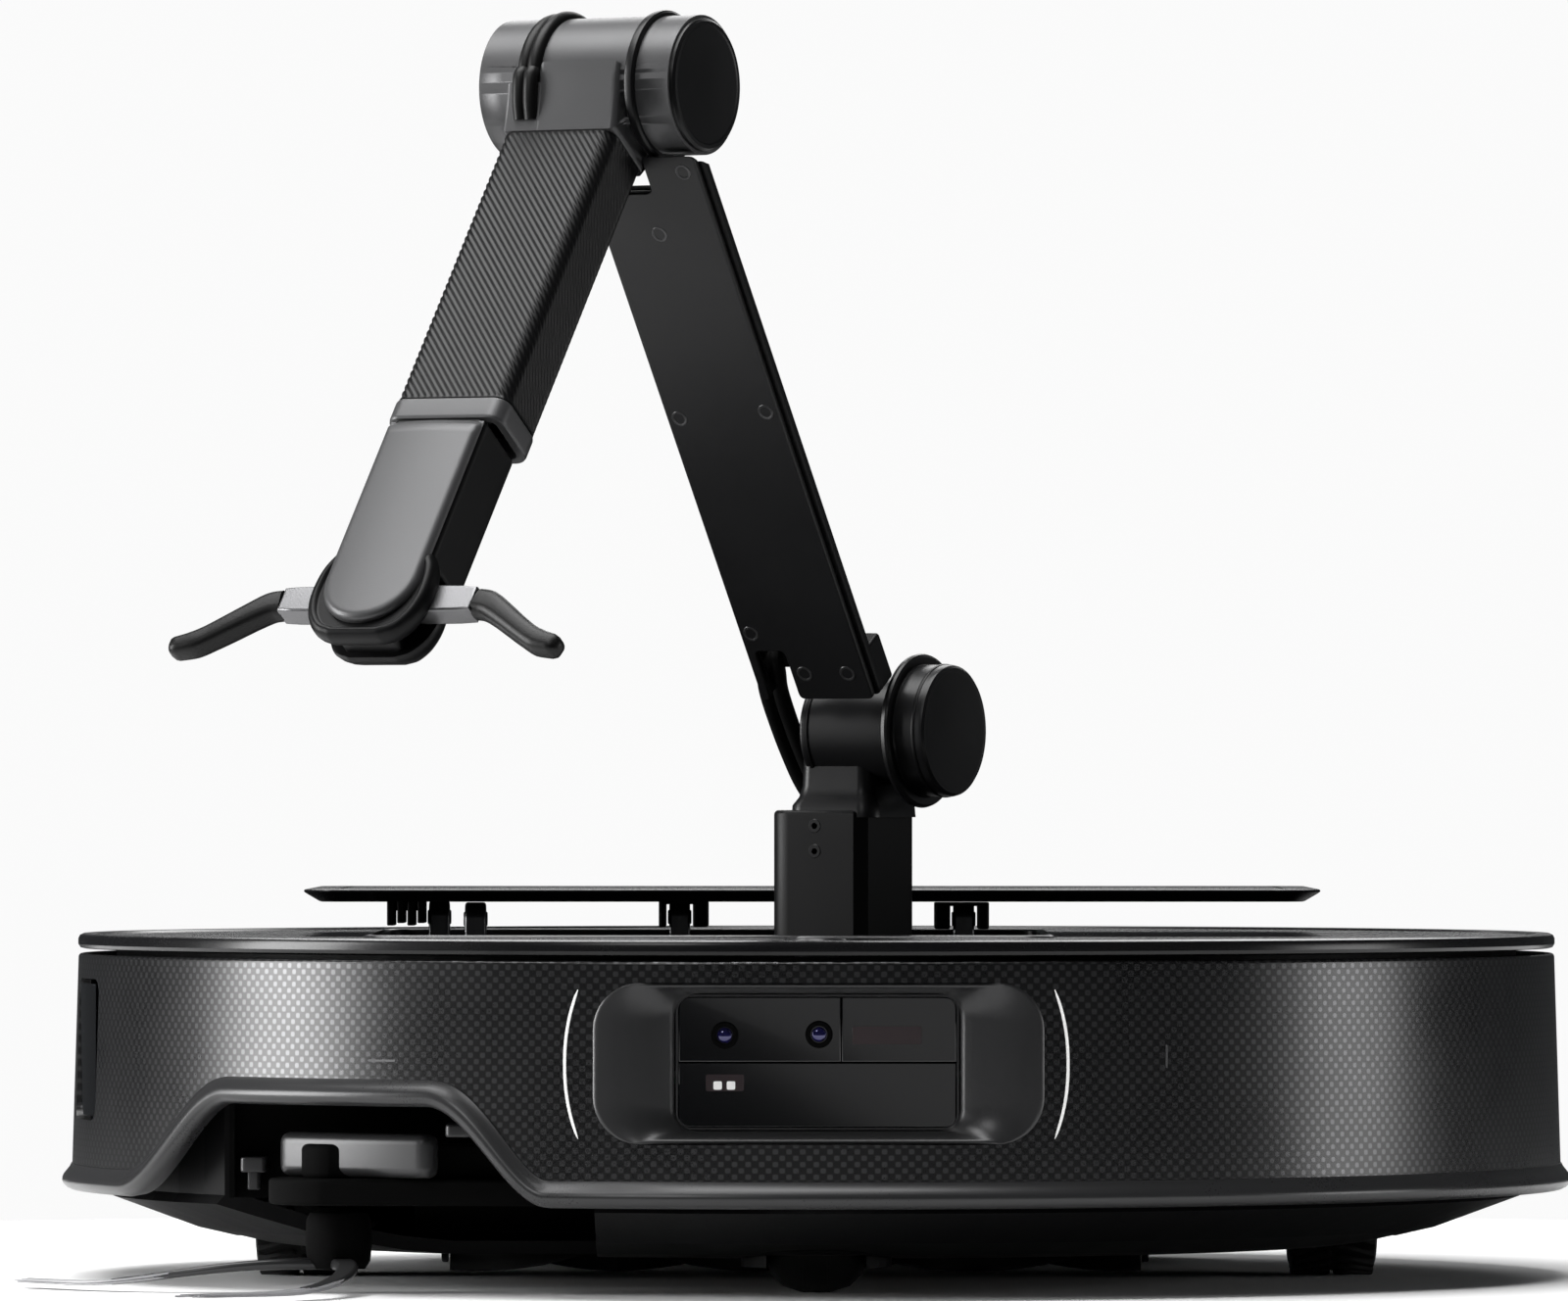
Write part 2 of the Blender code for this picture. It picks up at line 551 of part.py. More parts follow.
def make_blade(name, angle):
    """One curved sweeping blade, thin and low, that ends at the given angle from the hub."""
    turn = Matrix.Rotation(math.radians(angle), 4, "Z")
    place = Matrix.Translation(Vector((*BRUSH_HUB, 0)) * MM) @ turn
    count = 8
    middle = [(BRUSH_REACH * i / count, 16.0 * math.sin(math.pi * i / count)) for i in range(count + 1)]
    half = [3.2 - 1.6 * i / count for i in range(count + 1)]
    outline = [(x, y + h) for (x, y), h in zip(middle, half)]
    outline += [(x, y - h) for (x, y), h in reversed(list(zip(middle, half)))]
    return plate(name, outline, -6.4, -3.2, place)


# ---------------------------------------------------------------- arm

def drum(name, radius, start, end, along=0.0, where=UPPER, sides=36, end_radius=None):
    """A cylinder across the arm."""
    return rod(name, radius, (start, 0, along), (end, 0, along), where, sides, end_radius)


def make_turret():
    """The column on its turntable, and the shoulder motor housing that stands on it."""
    column = box("column", (-44.0, -12.5, 43.0), (-17.5, 12.5, COLUMN_TOP), where=TURRET, bevel=3.0)
    join(column, rod("turntable", 21.0, (*COLUMN, 34.0), (*COLUMN, 43.7)))
    add(column, "turret", BLACK)
    housing = drum("shoulder_housing", 12.6, -35.0, -10.7, where=SHOULDER)
    foot = COLUMN_TOP + GAP - SHOULDER_Z
    join(housing, box("shoulder_neck", (-36.0, -9.0, foot), (-18.0, 9.0, -6.0), where=SHOULDER))
    add(housing, "turret", CHARCOAL)
    loop = [(-41.2, 4.0, -15.5), (-42.2, 2.0, -12.0), (-43.6, -2.0, -6.5), (-44.0, -7.0, 0.0),
            (-43.4, -13.0, 5.5), (-42.2, -18.6, 9.0), (-41.3, -23.0, 12.2), (-40.9, -26.2, 15.4)]
    add(tube("shoulder_cable", loop, 2.2, SHOULDER), "turret", RUBBER)


def make_upper_arm():
    """A flat slab with a spine behind it, its screwed cover, and the drums at both ends."""
    left, right = SLAB_U
    front = SLAB_FRONT
    beam = box("upper_arm_frame", (left, front + 2.1, 19.4), (right, front + 4.4, 152.0), where=UPPER)
    join(beam,
        box("spine", (left + 1.5, front + 3.0, 24.0), (-25.5, 3.0, 149.0), where=UPPER, bevel=2.0),
        box("tongue", (-21.4, front + 2.1, 140.0), (right, front + 4.4, 166.5), where=UPPER),
        box("shoulder_lug", (-18.0, -12.0, 17.5), (-9.0, -3.0, 30.0), where=UPPER))
    cut(beam,
        box("frame_notch", (-35.8, -20, 10), (-28.0, -8, 33), where=UPPER),
        drum("elbow_relief", 17.6, -30, 0, UPPER_LENGTH),
        drum("shoulder_relief", 18.4, -50, 0))
    add(beam, "upper_arm", BLACK)

    cover = box("upper_arm_cover", (left, front, 19.0), (right, front + 1.8, 152.0), where=UPPER)
    join(cover, box("cover_tongue", (-21.4, front, 140.0), (right, front + 1.8, 167.8), where=UPPER))
    cut(cover,
        box("cable_notch", (-35.8, -20, 10), (-28.0, -8, 33), where=UPPER),
        drum("cover_relief", 17.6, -30, 0, UPPER_LENGTH))
    add(cover, "upper_arm", CHARCOAL)

    shoulder = drum("shoulder_drum", 15.4, -9.0, -1.4)
    join(shoulder, drum("shoulder_ring", 18.0, -10.3, -8.0),
         drum("shoulder_rim", 15.4, -1.6, 0, end_radius=14.2))
    add(shoulder, "upper_arm", CHARCOAL)
    add(drum("elbow_cap", 15.3, -11.0, -8.7, UPPER_LENGTH, end_radius=14.6), "upper_arm", CHARCOAL)
    inner = drum("elbow_housing", 15.3, -19.0, -11.3, UPPER_LENGTH)
    join(inner, drum("elbow_ring", 17.3, -21.1, -18.6, UPPER_LENGTH))
    add(inner, "upper_arm", CHARCOAL)


def make_forearm():
    """Elbow barrel, ribbed sleeve with its grey cap and band, and the wrist motor inside."""
    barrel = drum("elbow_barrel", 15.5, -43.2, -21.5, where=FOREARM)
    join(barrel, drum("cable_spool", 12.6, -49.9, -42.0, where=FOREARM, sides=28))
    add(barrel, "forearm", CHARCOAL)
    add(drum("elbow_end_cap", 15.2, -52.0, -50.2, where=FOREARM), "forearm", CHARCOAL)

    outline = [(SLEEVE_Y[0], 19.7), (SLEEVE_Y[0], 9.0), (8.0, 3.0), (17.0, 4.0), (13.4, 12.0),
               (SLEEVE_Y[1], 19.7)]
    cap = plate("forearm_cap", outline, SLEEVE_U[0], SLEEVE_U[1], FOREARM @ SIDE)
    cut(cap,
        drum("cap_saddle", 15.8, -55, -20, where=FOREARM),
        box("cap_notch", (-55, 2.0, 2), (-43.7, 20, 16), where=FOREARM))
    add(cap, "forearm", GREY)

    wall = 1.8
    for name, start, end, grow in (("forearm_sleeve", *SLEEVE_L, 0.0), ("forearm_band", 97.3, 103.0, 0.3)):
        shell = box(name, (SLEEVE_U[0] - grow, SLEEVE_Y[0] - grow, start),
                    (SLEEVE_U[1] + grow, SLEEVE_Y[1] + grow, end), where=FOREARM, bevel=3.0,
                    upright_only=True)
        inner = wall + grow
        cut(shell, box(name + "_room", (SLEEVE_U[0] + inner, SLEEVE_Y[0] + inner, start - 5),
                       (SLEEVE_U[1] - inner, SLEEVE_Y[1] - inner, end + 5), where=FOREARM))
        add(shell, "forearm", BLACK if grow == 0.0 else GREY)
    add(rod("wrist_motor", 6.2, (WRIST_U, 0.4, 55), (WRIST_U, 0.4, 100), where=FOREARM, sides=24),
        "forearm", SILVER)

    points = [elbow_point(ahead, above) for ahead, above in arc((0, 0), 16.0, 207, 4, 14)]
    points += [(CABLE_U, 13.6, 9.6), (CABLE_U, 11.8, 12.8)]
    add(tube("elbow_cable", points, 2.7, FOREARM), "forearm", RUBBER)


def elbow_point(ahead, above):
    """A point of the elbow cable, from its distances ahead of and above the elbow axis."""
    lean = math.radians(FOREARM_LEAN)
    along = ahead * math.sin(lean) + above * math.cos(lean)
    face = -ahead * math.cos(lean) + above * math.sin(lean)
    return (CABLE_U, face, along)


def make_wrist():
    """The rolling wrist: black body, grey cover and the palm that holds the fingers."""
    body = box("wrist_body", (WRIST_U - WRIST_HALF, -7.8, WRIST_START),
               (WRIST_U + WRIST_HALF, 9.3, PALM_L[0] - GAP), where=FOREARM, bevel=1.5)
    add(body, "wrist", BLACK)

    low, high = PALM_L
    side = [(WRIST_HALF, low), (15.1, 149.0), (15.1, 154.5), (13.4, 159.5), (8.4, high)]
    outline = [(WRIST_U + x, z) for x, z in side] + [(WRIST_U - x, z) for x, z in reversed(side)]
    palm = plate("palm", outline, -9.3, -6.0, FOREARM @ FRONT)
    join(palm,
        box("palm_core", (WRIST_U - 7.8, -1.4, low + 0.5), (WRIST_U + 7.8, 7.0, high - 0.5), where=FOREARM),
        box("palm_back", (WRIST_U - 13.0, -1.6, low + 0.2), (WRIST_U + 13.0, 0.0, 158.0), where=FOREARM))
    add(palm, "wrist", BLACK)

    half = 12.2
    outline = [(WRIST_U + half, 104.2), (WRIST_U + half, 150.0)]
    outline += arc((WRIST_U, 150.0), half, 10, 170, 11)
    outline += [(WRIST_U - half, 150.0), (WRIST_U - half, 104.2)]
    cover = plate("wrist_cover", outline, -11.0, -9.6, FOREARM @ FRONT)
    add(cover, "wrist", GREY)


def make_fingers():
    """Two mirrored fingers: a metal link that swings out from the palm and a bent rubber tip."""
    half = 2.7
    for side, sign in (("left", -1), ("right", 1)):
        place = FOREARM @ Matrix.Translation(
            Vector((WRIST_U + sign * FINGER_PIVOT[0], FINGER_Y, FINGER_PIVOT[1])) * MM) @ FRONT
        outline = [(sign * x, z) for x, z in arc((0, 0), 3.6, 90, 270, 8) + [(13.8, -3.4), (13.8, 3.4)]]
        add(plate(f"finger_link_{side}", outline, -half, half, place), f"finger_{side}", SILVER)
        spine = [(14.1, 0.0), (18.0, 1.6), (30.0, 9.0), (33.0, 10.6), (36.4, 11.6)]
        widths = [3.4, 3.2, 2.6, 2.7, 2.6]
        upper = [(x - 0.35 * w, z + 0.94 * w) for (x, z), w in zip(spine, widths)]
        lower = [(x + 0.35 * w, z - 0.94 * w) for (x, z), w in zip(spine, widths)]
        upper[0], lower[0] = (14.1, 3.4), (14.1, -3.4)
        end = arc(spine[-1], 2.6, -50, 90, 6)
        outline = [(sign * x, z) for x, z in lower + end + upper[::-1]]
        add(plate(f"finger_tip_{side}", outline, -half, half, place), f"finger_{side}", RUBBER)


make_chassis()
make_bumper()
make_inside()
make_lid()
make_drive_wheels()
make_caster()
make_cleaning_gear()
make_turret()
make_upper_arm()
make_forearm()
make_wrist()
make_fingers()
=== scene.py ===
"""The looks of a round floor-cleaning robot with a folding arm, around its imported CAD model.

Lengths are millimetres in the model's own frame, and MM turns them into metres.
"""
import json
import math
import random

import bmesh
import bpy
from mathutils import Matrix, Vector


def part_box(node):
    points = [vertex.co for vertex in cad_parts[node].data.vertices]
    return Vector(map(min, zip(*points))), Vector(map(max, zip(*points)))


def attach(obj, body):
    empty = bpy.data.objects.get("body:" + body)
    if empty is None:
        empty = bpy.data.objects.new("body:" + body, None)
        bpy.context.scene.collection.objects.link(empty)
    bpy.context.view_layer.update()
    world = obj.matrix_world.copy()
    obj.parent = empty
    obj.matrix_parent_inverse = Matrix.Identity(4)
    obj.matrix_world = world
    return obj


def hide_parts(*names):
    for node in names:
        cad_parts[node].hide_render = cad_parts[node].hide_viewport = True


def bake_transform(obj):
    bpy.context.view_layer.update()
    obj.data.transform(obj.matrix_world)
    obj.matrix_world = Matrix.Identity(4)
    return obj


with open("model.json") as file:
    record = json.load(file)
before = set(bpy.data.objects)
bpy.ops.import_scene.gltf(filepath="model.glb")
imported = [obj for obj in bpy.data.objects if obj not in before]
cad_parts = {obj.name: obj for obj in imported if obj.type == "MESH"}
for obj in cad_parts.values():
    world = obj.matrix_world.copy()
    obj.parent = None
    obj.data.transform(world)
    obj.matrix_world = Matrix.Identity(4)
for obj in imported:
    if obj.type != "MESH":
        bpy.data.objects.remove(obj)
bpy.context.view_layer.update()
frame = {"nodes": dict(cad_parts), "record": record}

MM = 0.001
FLOOR = -8.0


def node_box(name):
    """Lowest and highest corner of a CAD node, in millimetres."""
    low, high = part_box(name)
    return low / MM, high / MM


# Round body, as in the CAD model.
DECK_LOW, DECK_HIGH = (corner.z for corner in node_box("deck"))
BODY_RADIUS = 175.0
DECK_RADIUS = 174.5
WALL_TOP = 68.2
WALL_TOP_RADIUS = 174.4
WALL_DRAFT = 0.03             # how far the wall leans out, per millimetre down
WALL_FOOT = 12.6
WALL_INSIDE = 172.2
BUMPER_END = -2.0
REAR_END = 1.5
LIP_HEIGHT = 6.2
LIP_DEPTH = 2.3
NOTCH_TOP = 35.0
NOTCH_LEFT = (-159.0, -134.0)
NOTCH_RIGHT = (-88.0, -60.0)
BUTTON_Y = -130.0
RECESS_LOW, RECESS_HIGH = node_box("camera_recess")
WINDOW_LOW, WINDOW_HIGH = node_box("camera_window")

# Arm. U runs across it, L along a link and Y out of the back of a link.
COLUMN = (5.6, -37.5)
COLUMN_U = -31.0
HOLE_LEVELS = (98.3, 92.4)      # two holes in the column's front
ACROSS = Vector((math.cos(math.radians(30.0)), -0.5, 0.0))
FORWARD = Vector((-0.5, -math.cos(math.radians(30.0)), 0.0))
SHOULDER_Z = 120.5
UPPER_LEAN = 34.05
UPPER_LENGTH = 176.8
SLAB_FRONT = -15.6
ELBOW_ROOM = 18.2              # what the slab leaves free round the elbow and the shoulder
SHOULDER_ROOM = 18.5
FOREARM_LEAN = 143.0
SLEEVE_U = (-52.2, -22.6)
SLEEVE_Y = (-8.0, 8.8)
SLEEVE_L = (20.0, 97.0)
RIB_PITCH = 1.675
RIB_SLANT = 0.86
WRIST_U = -37.9
FINGER_PIVOT = (11.5, 151.5)
FINGER_Y = 3.0

WORLD = Matrix.Identity(4)
SIDE = Matrix(((0, 0, 1, 0), (1, 0, 0, 0), (0, 1, 0, 0), (0, 0, 0, 1)))    # outline in Y and Z
FRONT = Matrix(((1, 0, 0, 0), (0, 0, -1, 0), (0, 1, 0, 0), (0, 0, 0, 1)))  # outline in X and Z
FACE = Matrix(((1, 0, 0, 0), (0, 0, 1, 0), (0, 1, 0, 0), (0, 0, 0, 1)))    # as FRONT, but facing +Y
TURN_X = Matrix.Rotation(math.radians(90.0), 4, "Y")   # Z turned to X


# ---------------------------------------------------------------- places

def at(x, y, z, where=WORLD):
    return where @ Matrix.Translation((x, y, z))


def turn_about(axis, degrees):
    return Matrix.Rotation(math.radians(degrees), 4, axis)


def arm_frame(lean, forward, height):
    """X across the arm, Z along a link that leans forward from straight up, Y = Z cross X."""
    angle = math.radians(lean)
    along = FORWARD * math.sin(angle) + Vector((0, 0, math.cos(angle)))
    back = along.cross(ACROSS)
    place = Matrix((ACROSS, back, along)).transposed().to_4x4()
    place.translation = Vector((COLUMN[0], COLUMN[1], height)) + ACROSS * -COLUMN_U + FORWARD * forward
    return place


TURRET = arm_frame(0.0, 0.0, 0.0)
SHOULDER = arm_frame(0.0, 0.0, SHOULDER_Z)
UPPER = arm_frame(UPPER_LEAN, 0.0, SHOULDER_Z)
FOREARM = arm_frame(FOREARM_LEAN, UPPER_LENGTH * math.sin(math.radians(UPPER_LEAN)),
                    SHOULDER_Z + UPPER_LENGTH * math.cos(math.radians(UPPER_LEAN)))


def smooth_step(value, start, end):
    share = min(max((value - start) / (end - start), 0.0), 1.0)
    return share * share * (3 - 2 * share)


def arc(centre, radius, start, end, count):
    """Points on a circle, from one angle in degrees to another."""
    angles = [math.radians(start + (end - start) * i / (count - 1)) for i in range(count)]
    return [(centre[0] + radius * math.cos(a), centre[1] + radius * math.sin(a)) for a in angles]


def curve_through(points, per_span=6):
    """A smooth line through a few points."""
    points = [Vector(p) for p in points]
    ends = [points[0] * 2 - points[1]] + points + [points[-1] * 2 - points[-2]]
    line = []
    for a, b, c, d in zip(ends, ends[1:], ends[2:], ends[3:]):
        for i in range(per_span):
            t = i / per_span
            line.append(0.5 * ((b * 2) + (c - a) * t + (a * 2 - b * 5 + c * 4 - d) * t * t
                               + (b * 3 - a - c * 3 + d) * t ** 3))
    return line + [points[-1]]


# ---------------------------------------------------------------- shapes

def loft(rings, loop=False):
    """A skin over closed rings that have the same number of points."""
    shape = bmesh.new()
    rows = [[shape.verts.new(point) for point in ring] for ring in rings]
    count = len(rows[0])
    pairs = list(zip(rows, rows[1:]))
    if loop:
        pairs.append((rows[-1], rows[0]))
    for near, far in pairs:
        for i in range(count):
            j = (i + 1) % count
            shape.faces.new((near[i], near[j], far[j], far[i]))
    if not loop:
        shape.faces.new(rows[0][::-1])
        shape.faces.new(rows[-1])
    bmesh.ops.recalc_face_normals(shape, faces=shape.faces[:])
    return shape


def soften(outline, radius, count=4):
    """Round the corners of a closed outline."""
    corners = [Vector(p) for p in outline]
    result = []
    for before, corner, after in zip(corners[-1:] + corners[:-1], corners, corners[1:] + corners[:1]):
        start = corner + (before - corner).normalized() * min(radius, (before - corner).length * 0.48)
        end = corner + (after - corner).normalized() * min(radius, (after - corner).length * 0.48)
        for i in range(count + 1):
            t = i / count
            result.append(start * (1 - t) ** 2 + corner * 2 * t * (1 - t) + end * t * t)
    return result


def inset(outline, distance):
    """Move a closed outline inwards, whichever way round it runs."""
    points = [Vector(p[:2]) for p in outline]
    pairs = zip(points, points[1:] + points[:1])
    area = sum(p.x * q.y - q.x * p.y for p, q in pairs)
    turn = 1.0 if area > 0 else -1.0
    result = []
    for before, point, after in zip(points[-1:] + points[:-1], points, points[1:] + points[:1]):
        first = (point - before).normalized()
        second = (after - point).normalized()
        normal = Vector((-(first.y + second.y), first.x + second.x)) * turn
        normal = normal.normalized() if normal.length > 1e-6 else Vector((-first.y, first.x)) * turn
        reach = max(normal.dot(Vector((-first.y, first.x)) * turn), 0.4)
        result.append(point + normal * distance / reach)
    return result


def slab(outline, low, high, edge=0.5, steps=3):
    """A plate with rounded rims: its outline in X and Y, its thickness along Z."""
    rings = []
    for sign, level in ((1, low), (-1, high)):
        order = range(steps + 1) if sign > 0 else range(steps, -1, -1)
        for i in order:
            angle = math.radians(90.0 * i / steps)
            ring = inset(outline, edge * (1 - math.sin(angle)))
            height = level + sign * edge * (1 - math.cos(angle))
            rings.append([(p.x, p.y, height) for p in ring])
    return loft(rings)


def rounded(width, height, radius, count=6, centre=(0.0, 0.0)):
    """The outline of a rectangle with round corners."""
    x, y = width / 2 - radius, height / 2 - radius
    points = []
    for sign_x, sign_y, start in ((1, 1, 0), (-1, 1, 90), (-1, -1, 180), (1, -1, 270)):
        middle = (centre[0] + sign_x * x, centre[1] + sign_y * y)
        points += arc(middle, radius, start, start + 90, count)
    return points


def block(low, high, corner=1.0, edge=0.5):
    """A box with round upright corners and softened rims."""
    width, depth = high[0] - low[0], high[1] - low[1]
    middle = ((low[0] + high[0]) / 2, (low[1] + high[1]) / 2)
    return slab(rounded(width, depth, corner, centre=middle), low[2], high[2], edge)


def turned(profile, steps=72):
    """A closed profile of (radius, height) points turned about Z."""
    angles = [math.radians(360.0 * i / steps) for i in range(steps)]
    rings = [[(max(p[0], 0.0) * math.cos(a), max(p[0], 0.0) * math.sin(a), p[1]) for p in profile]
             for a in angles]
    shape = loft(rings, loop=True)
    bmesh.ops.remove_doubles(shape, verts=shape.verts[:], dist=0.0005)
    bmesh.ops.dissolve_degenerate(shape, edges=shape.edges[:], dist=0.0005)
    return shape


def drum(radius, low, high, edge=0.6, hole=0.0, steps=64):
    """A cylinder about Z with rounded rims, or a ring if it has a hole."""
    rim = [(radius - edge, low)] + [(radius - edge + edge * math.sin(math.radians(a)),
                                     low + edge - edge * math.cos(math.radians(a))) for a in (30, 60, 90)]
    rim += [(r, low + high - z) for r, z in reversed(rim)]
    return turned([(hole, low)] + rim + [(hole, high)], steps)


def tube(points, radius, sides=16):
    """A round bar along a line. radius may be a list, one for each point."""
    points = [Vector(p) for p in points]
    radii = radius if isinstance(radius, list) else [radius] * len(points)
    headings = [(b - a).normalized() for a, b in zip(points, points[1:])]
    headings = [headings[0]] + [(a + b).normalized() for a, b in zip(headings, headings[1:])] + [headings[-1]]
    side = headings[0].orthogonal().normalized()
    rings = []
    for point, heading, size in zip(points, headings, radii):
        side = (side - heading * side.dot(heading)).normalized()
        other = heading.cross(side)
        turns = [2 * math.pi * i / sides for i in range(sides)]
        rings.append([point + (side * math.cos(a) + other * math.sin(a)) * size for a in turns])
    return loft(rings)


def merge(*parts):
    """Several shapes, each with its place, as one."""
    whole = bmesh.new()
    for part, where in parts:
        part.transform(where)
        mesh = bpy.data.meshes.new("part")
        part.to_mesh(mesh)
        part.free()
        whole.from_mesh(mesh)
        bpy.data.meshes.remove(mesh)
    return whole


def together(shapes):
    return merge(*((shape, WORLD) for shape in shapes))


def boolean(shape, tools):
    """Cut one shape by others."""
    items = []
    for source in (shape, *tools):
        mesh = bpy.data.meshes.new("work")
        source.to_mesh(mesh)
        source.free()
        item = bpy.data.objects.new("work", mesh)
        bpy.context.scene.collection.objects.link(item)
        items.append(item)
    for tool in items[1:]:
        step = items[0].modifiers.new("step", "BOOLEAN")
        step.operation = "DIFFERENCE"
        step.solver = "EXACT"
        step.object = tool
    seen = items[0].evaluated_get(bpy.context.evaluated_depsgraph_get())
    result = bmesh.new()
    result.from_mesh(seen.to_mesh())
    for item in items:
        bpy.data.meshes.remove(item.data)
    return result


# ---------------------------------------------------------------- materials

class Finish:
    """One procedural material: a principled shader with colour, roughness and relief from noise."""

    def __init__(self, name, colour, roughness, metallic=0.0, uneven=0.12, spread=0.06, grain=0.25,
                 grain_size=0.5, stretch=(1.0, 1.0, 1.0), specular=0.5, coat=0.0, glow=0.0):
        self.material = bpy.data.materials.new(name)
        self.material.use_nodes = True
        self.tree = self.material.node_tree
        self.shader = self.tree.nodes["Principled BSDF"]
        self.shader.inputs["Metallic"].default_value = metallic
        self.shader.inputs["Specular IOR Level"].default_value = specular
        self.shader.inputs["Coat Weight"].default_value = coat
        self.shader.inputs["Coat Roughness"].default_value = 0.06
        if glow:
            self.shader.inputs["Emission Color"].default_value = (*colour, 1.0)
            self.shader.inputs["Emission Strength"].default_value = glow
        self.place = self.node("ShaderNodeTexCoord").outputs["Object"]
        stretched = self.node("ShaderNodeMapping", Vector=self.place, Scale=stretch).outputs[0]
        broad = self.noise(self.place, 28.0, 3.0)
        fine = self.noise(stretched, 1.0 / (grain_size * MM), 2.0)
        self.colour = self.blend(broad, [c * (1 - uneven) for c in colour],
                                 [c * (1 + uneven) for c in colour])
        both = self.math("ADD", self.math("MULTIPLY", broad, 0.6), self.math("MULTIPLY", fine, 0.4))
        self.rough = self.math("ADD", self.math("MULTIPLY", self.math("SUBTRACT", both, 0.5), spread * 4),
                               roughness)
        self.height = self.math("MULTIPLY", fine, grain)
        self.connect()

    def node(self, kind, **inputs):
        made = self.tree.nodes.new(kind)
        for key, value in inputs.items():
            socket = made.inputs[key]
            if isinstance(value, bpy.types.NodeSocket):
                self.tree.links.new(value, socket)
            else:
                socket.default_value = value
        return made

    def noise(self, place, scale, detail):
        made = self.node("ShaderNodeTexNoise", Vector=place, Scale=scale, Detail=detail)
        return made.outputs["Fac"]

    def math(self, operation, first, second=0.0, third=0.0):
        made = self.tree.nodes.new("ShaderNodeMath")
        made.operation = operation
        for socket, value in zip(made.inputs, (first, second, third)):
            if isinstance(value, bpy.types.NodeSocket):
                self.tree.links.new(value, socket)
            else:
                socket.default_value = value
        return made.outputs[0]

    def blend(self, share, first, second):
        made = self.tree.nodes.new("ShaderNodeMix")
        made.data_type = "RGBA"
        for key, value in ((0, share), (6, first), (7, second)):
            if isinstance(value, bpy.types.NodeSocket):
                self.tree.links.new(value, made.inputs[key])
            else:
                made.inputs[key].default_value = (*value, 1.0)
        return made.outputs[2]

    def connect(self):
        """Send colour, roughness and relief to the shader."""
        links = self.tree.links
        links.new(self.colour, self.shader.inputs["Base Color"])
        links.new(self.rough, self.shader.inputs["Roughness"])
        bump = self.node("ShaderNodeBump", Strength=0.5, Distance=0.1 * MM, Height=self.height)
        links.new(bump.outputs[0], self.shader.inputs["Normal"])


def dotted(finish, radius=BODY_RADIUS, pitch=3.05, row=1.42, size=0.5):
    """Add staggered soft dots round a wall: they are a little lighter and more metallic."""
    parts = finish.node("ShaderNodeSeparateXYZ", Vector=finish.place)
    x, y, z = parts.outputs
    backwards = finish.math("MULTIPLY", y, -1.0)
    round_wall = finish.math("MULTIPLY", finish.math("ARCTAN2", x, backwards), radius / pitch)
    level = finish.math("DIVIDE", z, row * MM)
    wave_round = finish.math("COSINE", finish.math("MULTIPLY", round_wall, 2 * math.pi))
    wave_up = finish.math("COSINE", finish.math("MULTIPLY", level, math.pi))
    product = finish.math("MULTIPLY", wave_round, wave_up)
    dots = finish.math("SMOOTH_MIN", finish.math("MAXIMUM", product, 0.0), size, 0.1)
    dots = finish.math("DIVIDE", dots, size)
    finish.colour = finish.blend(dots, (0.003, 0.003, 0.0033), (0.075, 0.075, 0.077))
    shine = finish.math("MULTIPLY", dots, 0.92)
    finish.tree.links.new(shine, finish.shader.inputs["Metallic"])
    finish.connect()


LOOKS = {
    "body_plastic": Finish("body_plastic", (0.005, 0.005, 0.0055), 0.24, grain=0.1, grain_size=0.35,
                           specular=0.3),
    "pan_plastic": Finish("pan_plastic", (0.003, 0.003, 0.0033), 0.5, grain=0.4, specular=0.10),
    "arm_housing": Finish("arm_housing", (0.005, 0.005, 0.0055), 0.36, grain=0.25, grain_size=0.3,
                          specular=0.26),
    "arm_metal": Finish("arm_metal", (0.003, 0.003, 0.0033), 0.42, grain=0.2, grain_size=0.3, specular=0.15),
    "sleeve": Finish("sleeve", (0.004, 0.004, 0.0043), 0.40, grain=0.15, grain_size=0.3, specular=0.2),
    "grey_cover": Finish("grey_cover", (0.075, 0.075, 0.077), 0.40, metallic=0.4, uneven=0.05,
                         grain=0.25, grain_size=0.35, specular=0.4),
    "window_glass": Finish("window_glass", (0.002, 0.002, 0.0025), 0.05, spread=0.005, grain=0.0, coat=0.6),
    # light_white's glow is painted light: the white lines beside the tunnel are painted lines, not lamps, and
    # the emission only makes them read bright.
    "light_white": Finish("light_white", (0.82, 0.82, 0.81), 0.35, uneven=0.03, grain=0.1, glow=0.3),
    "silver_metal": Finish("silver_metal", (0.15, 0.15, 0.154), 0.34, metallic=0.9, uneven=0.08,
                           spread=0.1, grain=0.5, grain_size=0.3, stretch=(1.0, 1.0, 0.04)),
    "rubber": Finish("rubber", (0.004, 0.004, 0.004), 0.42, grain=0.4, grain_size=0.6, specular=0.22),
    "tyre": Finish("tyre", (0.008, 0.008, 0.008), 0.72, grain=1.0, grain_size=0.5, specular=0.2),
    "felt": Finish("felt", (0.10, 0.10, 0.105), 0.95, uneven=0.25, grain=2.0, grain_size=0.7, specular=0.1),
    "board": Finish("board", (0.015, 0.09, 0.04), 0.45, grain=0.4, grain_size=1.5),
}
WALL = Finish("wall_plastic", (0.005, 0.005, 0.0055), 0.29, grain=0.06, grain_size=0.35, specular=0.38)
dotted(WALL)
LIP = Finish("lip_satin", (0.030, 0.030, 0.031), 0.30, metallic=0.3, uneven=0.06, grain=0.15)
TUNNEL = Finish("tunnel_satin", (0.032, 0.032, 0.033), 0.34, metallic=0.4, uneven=0.08, grain=0.2)
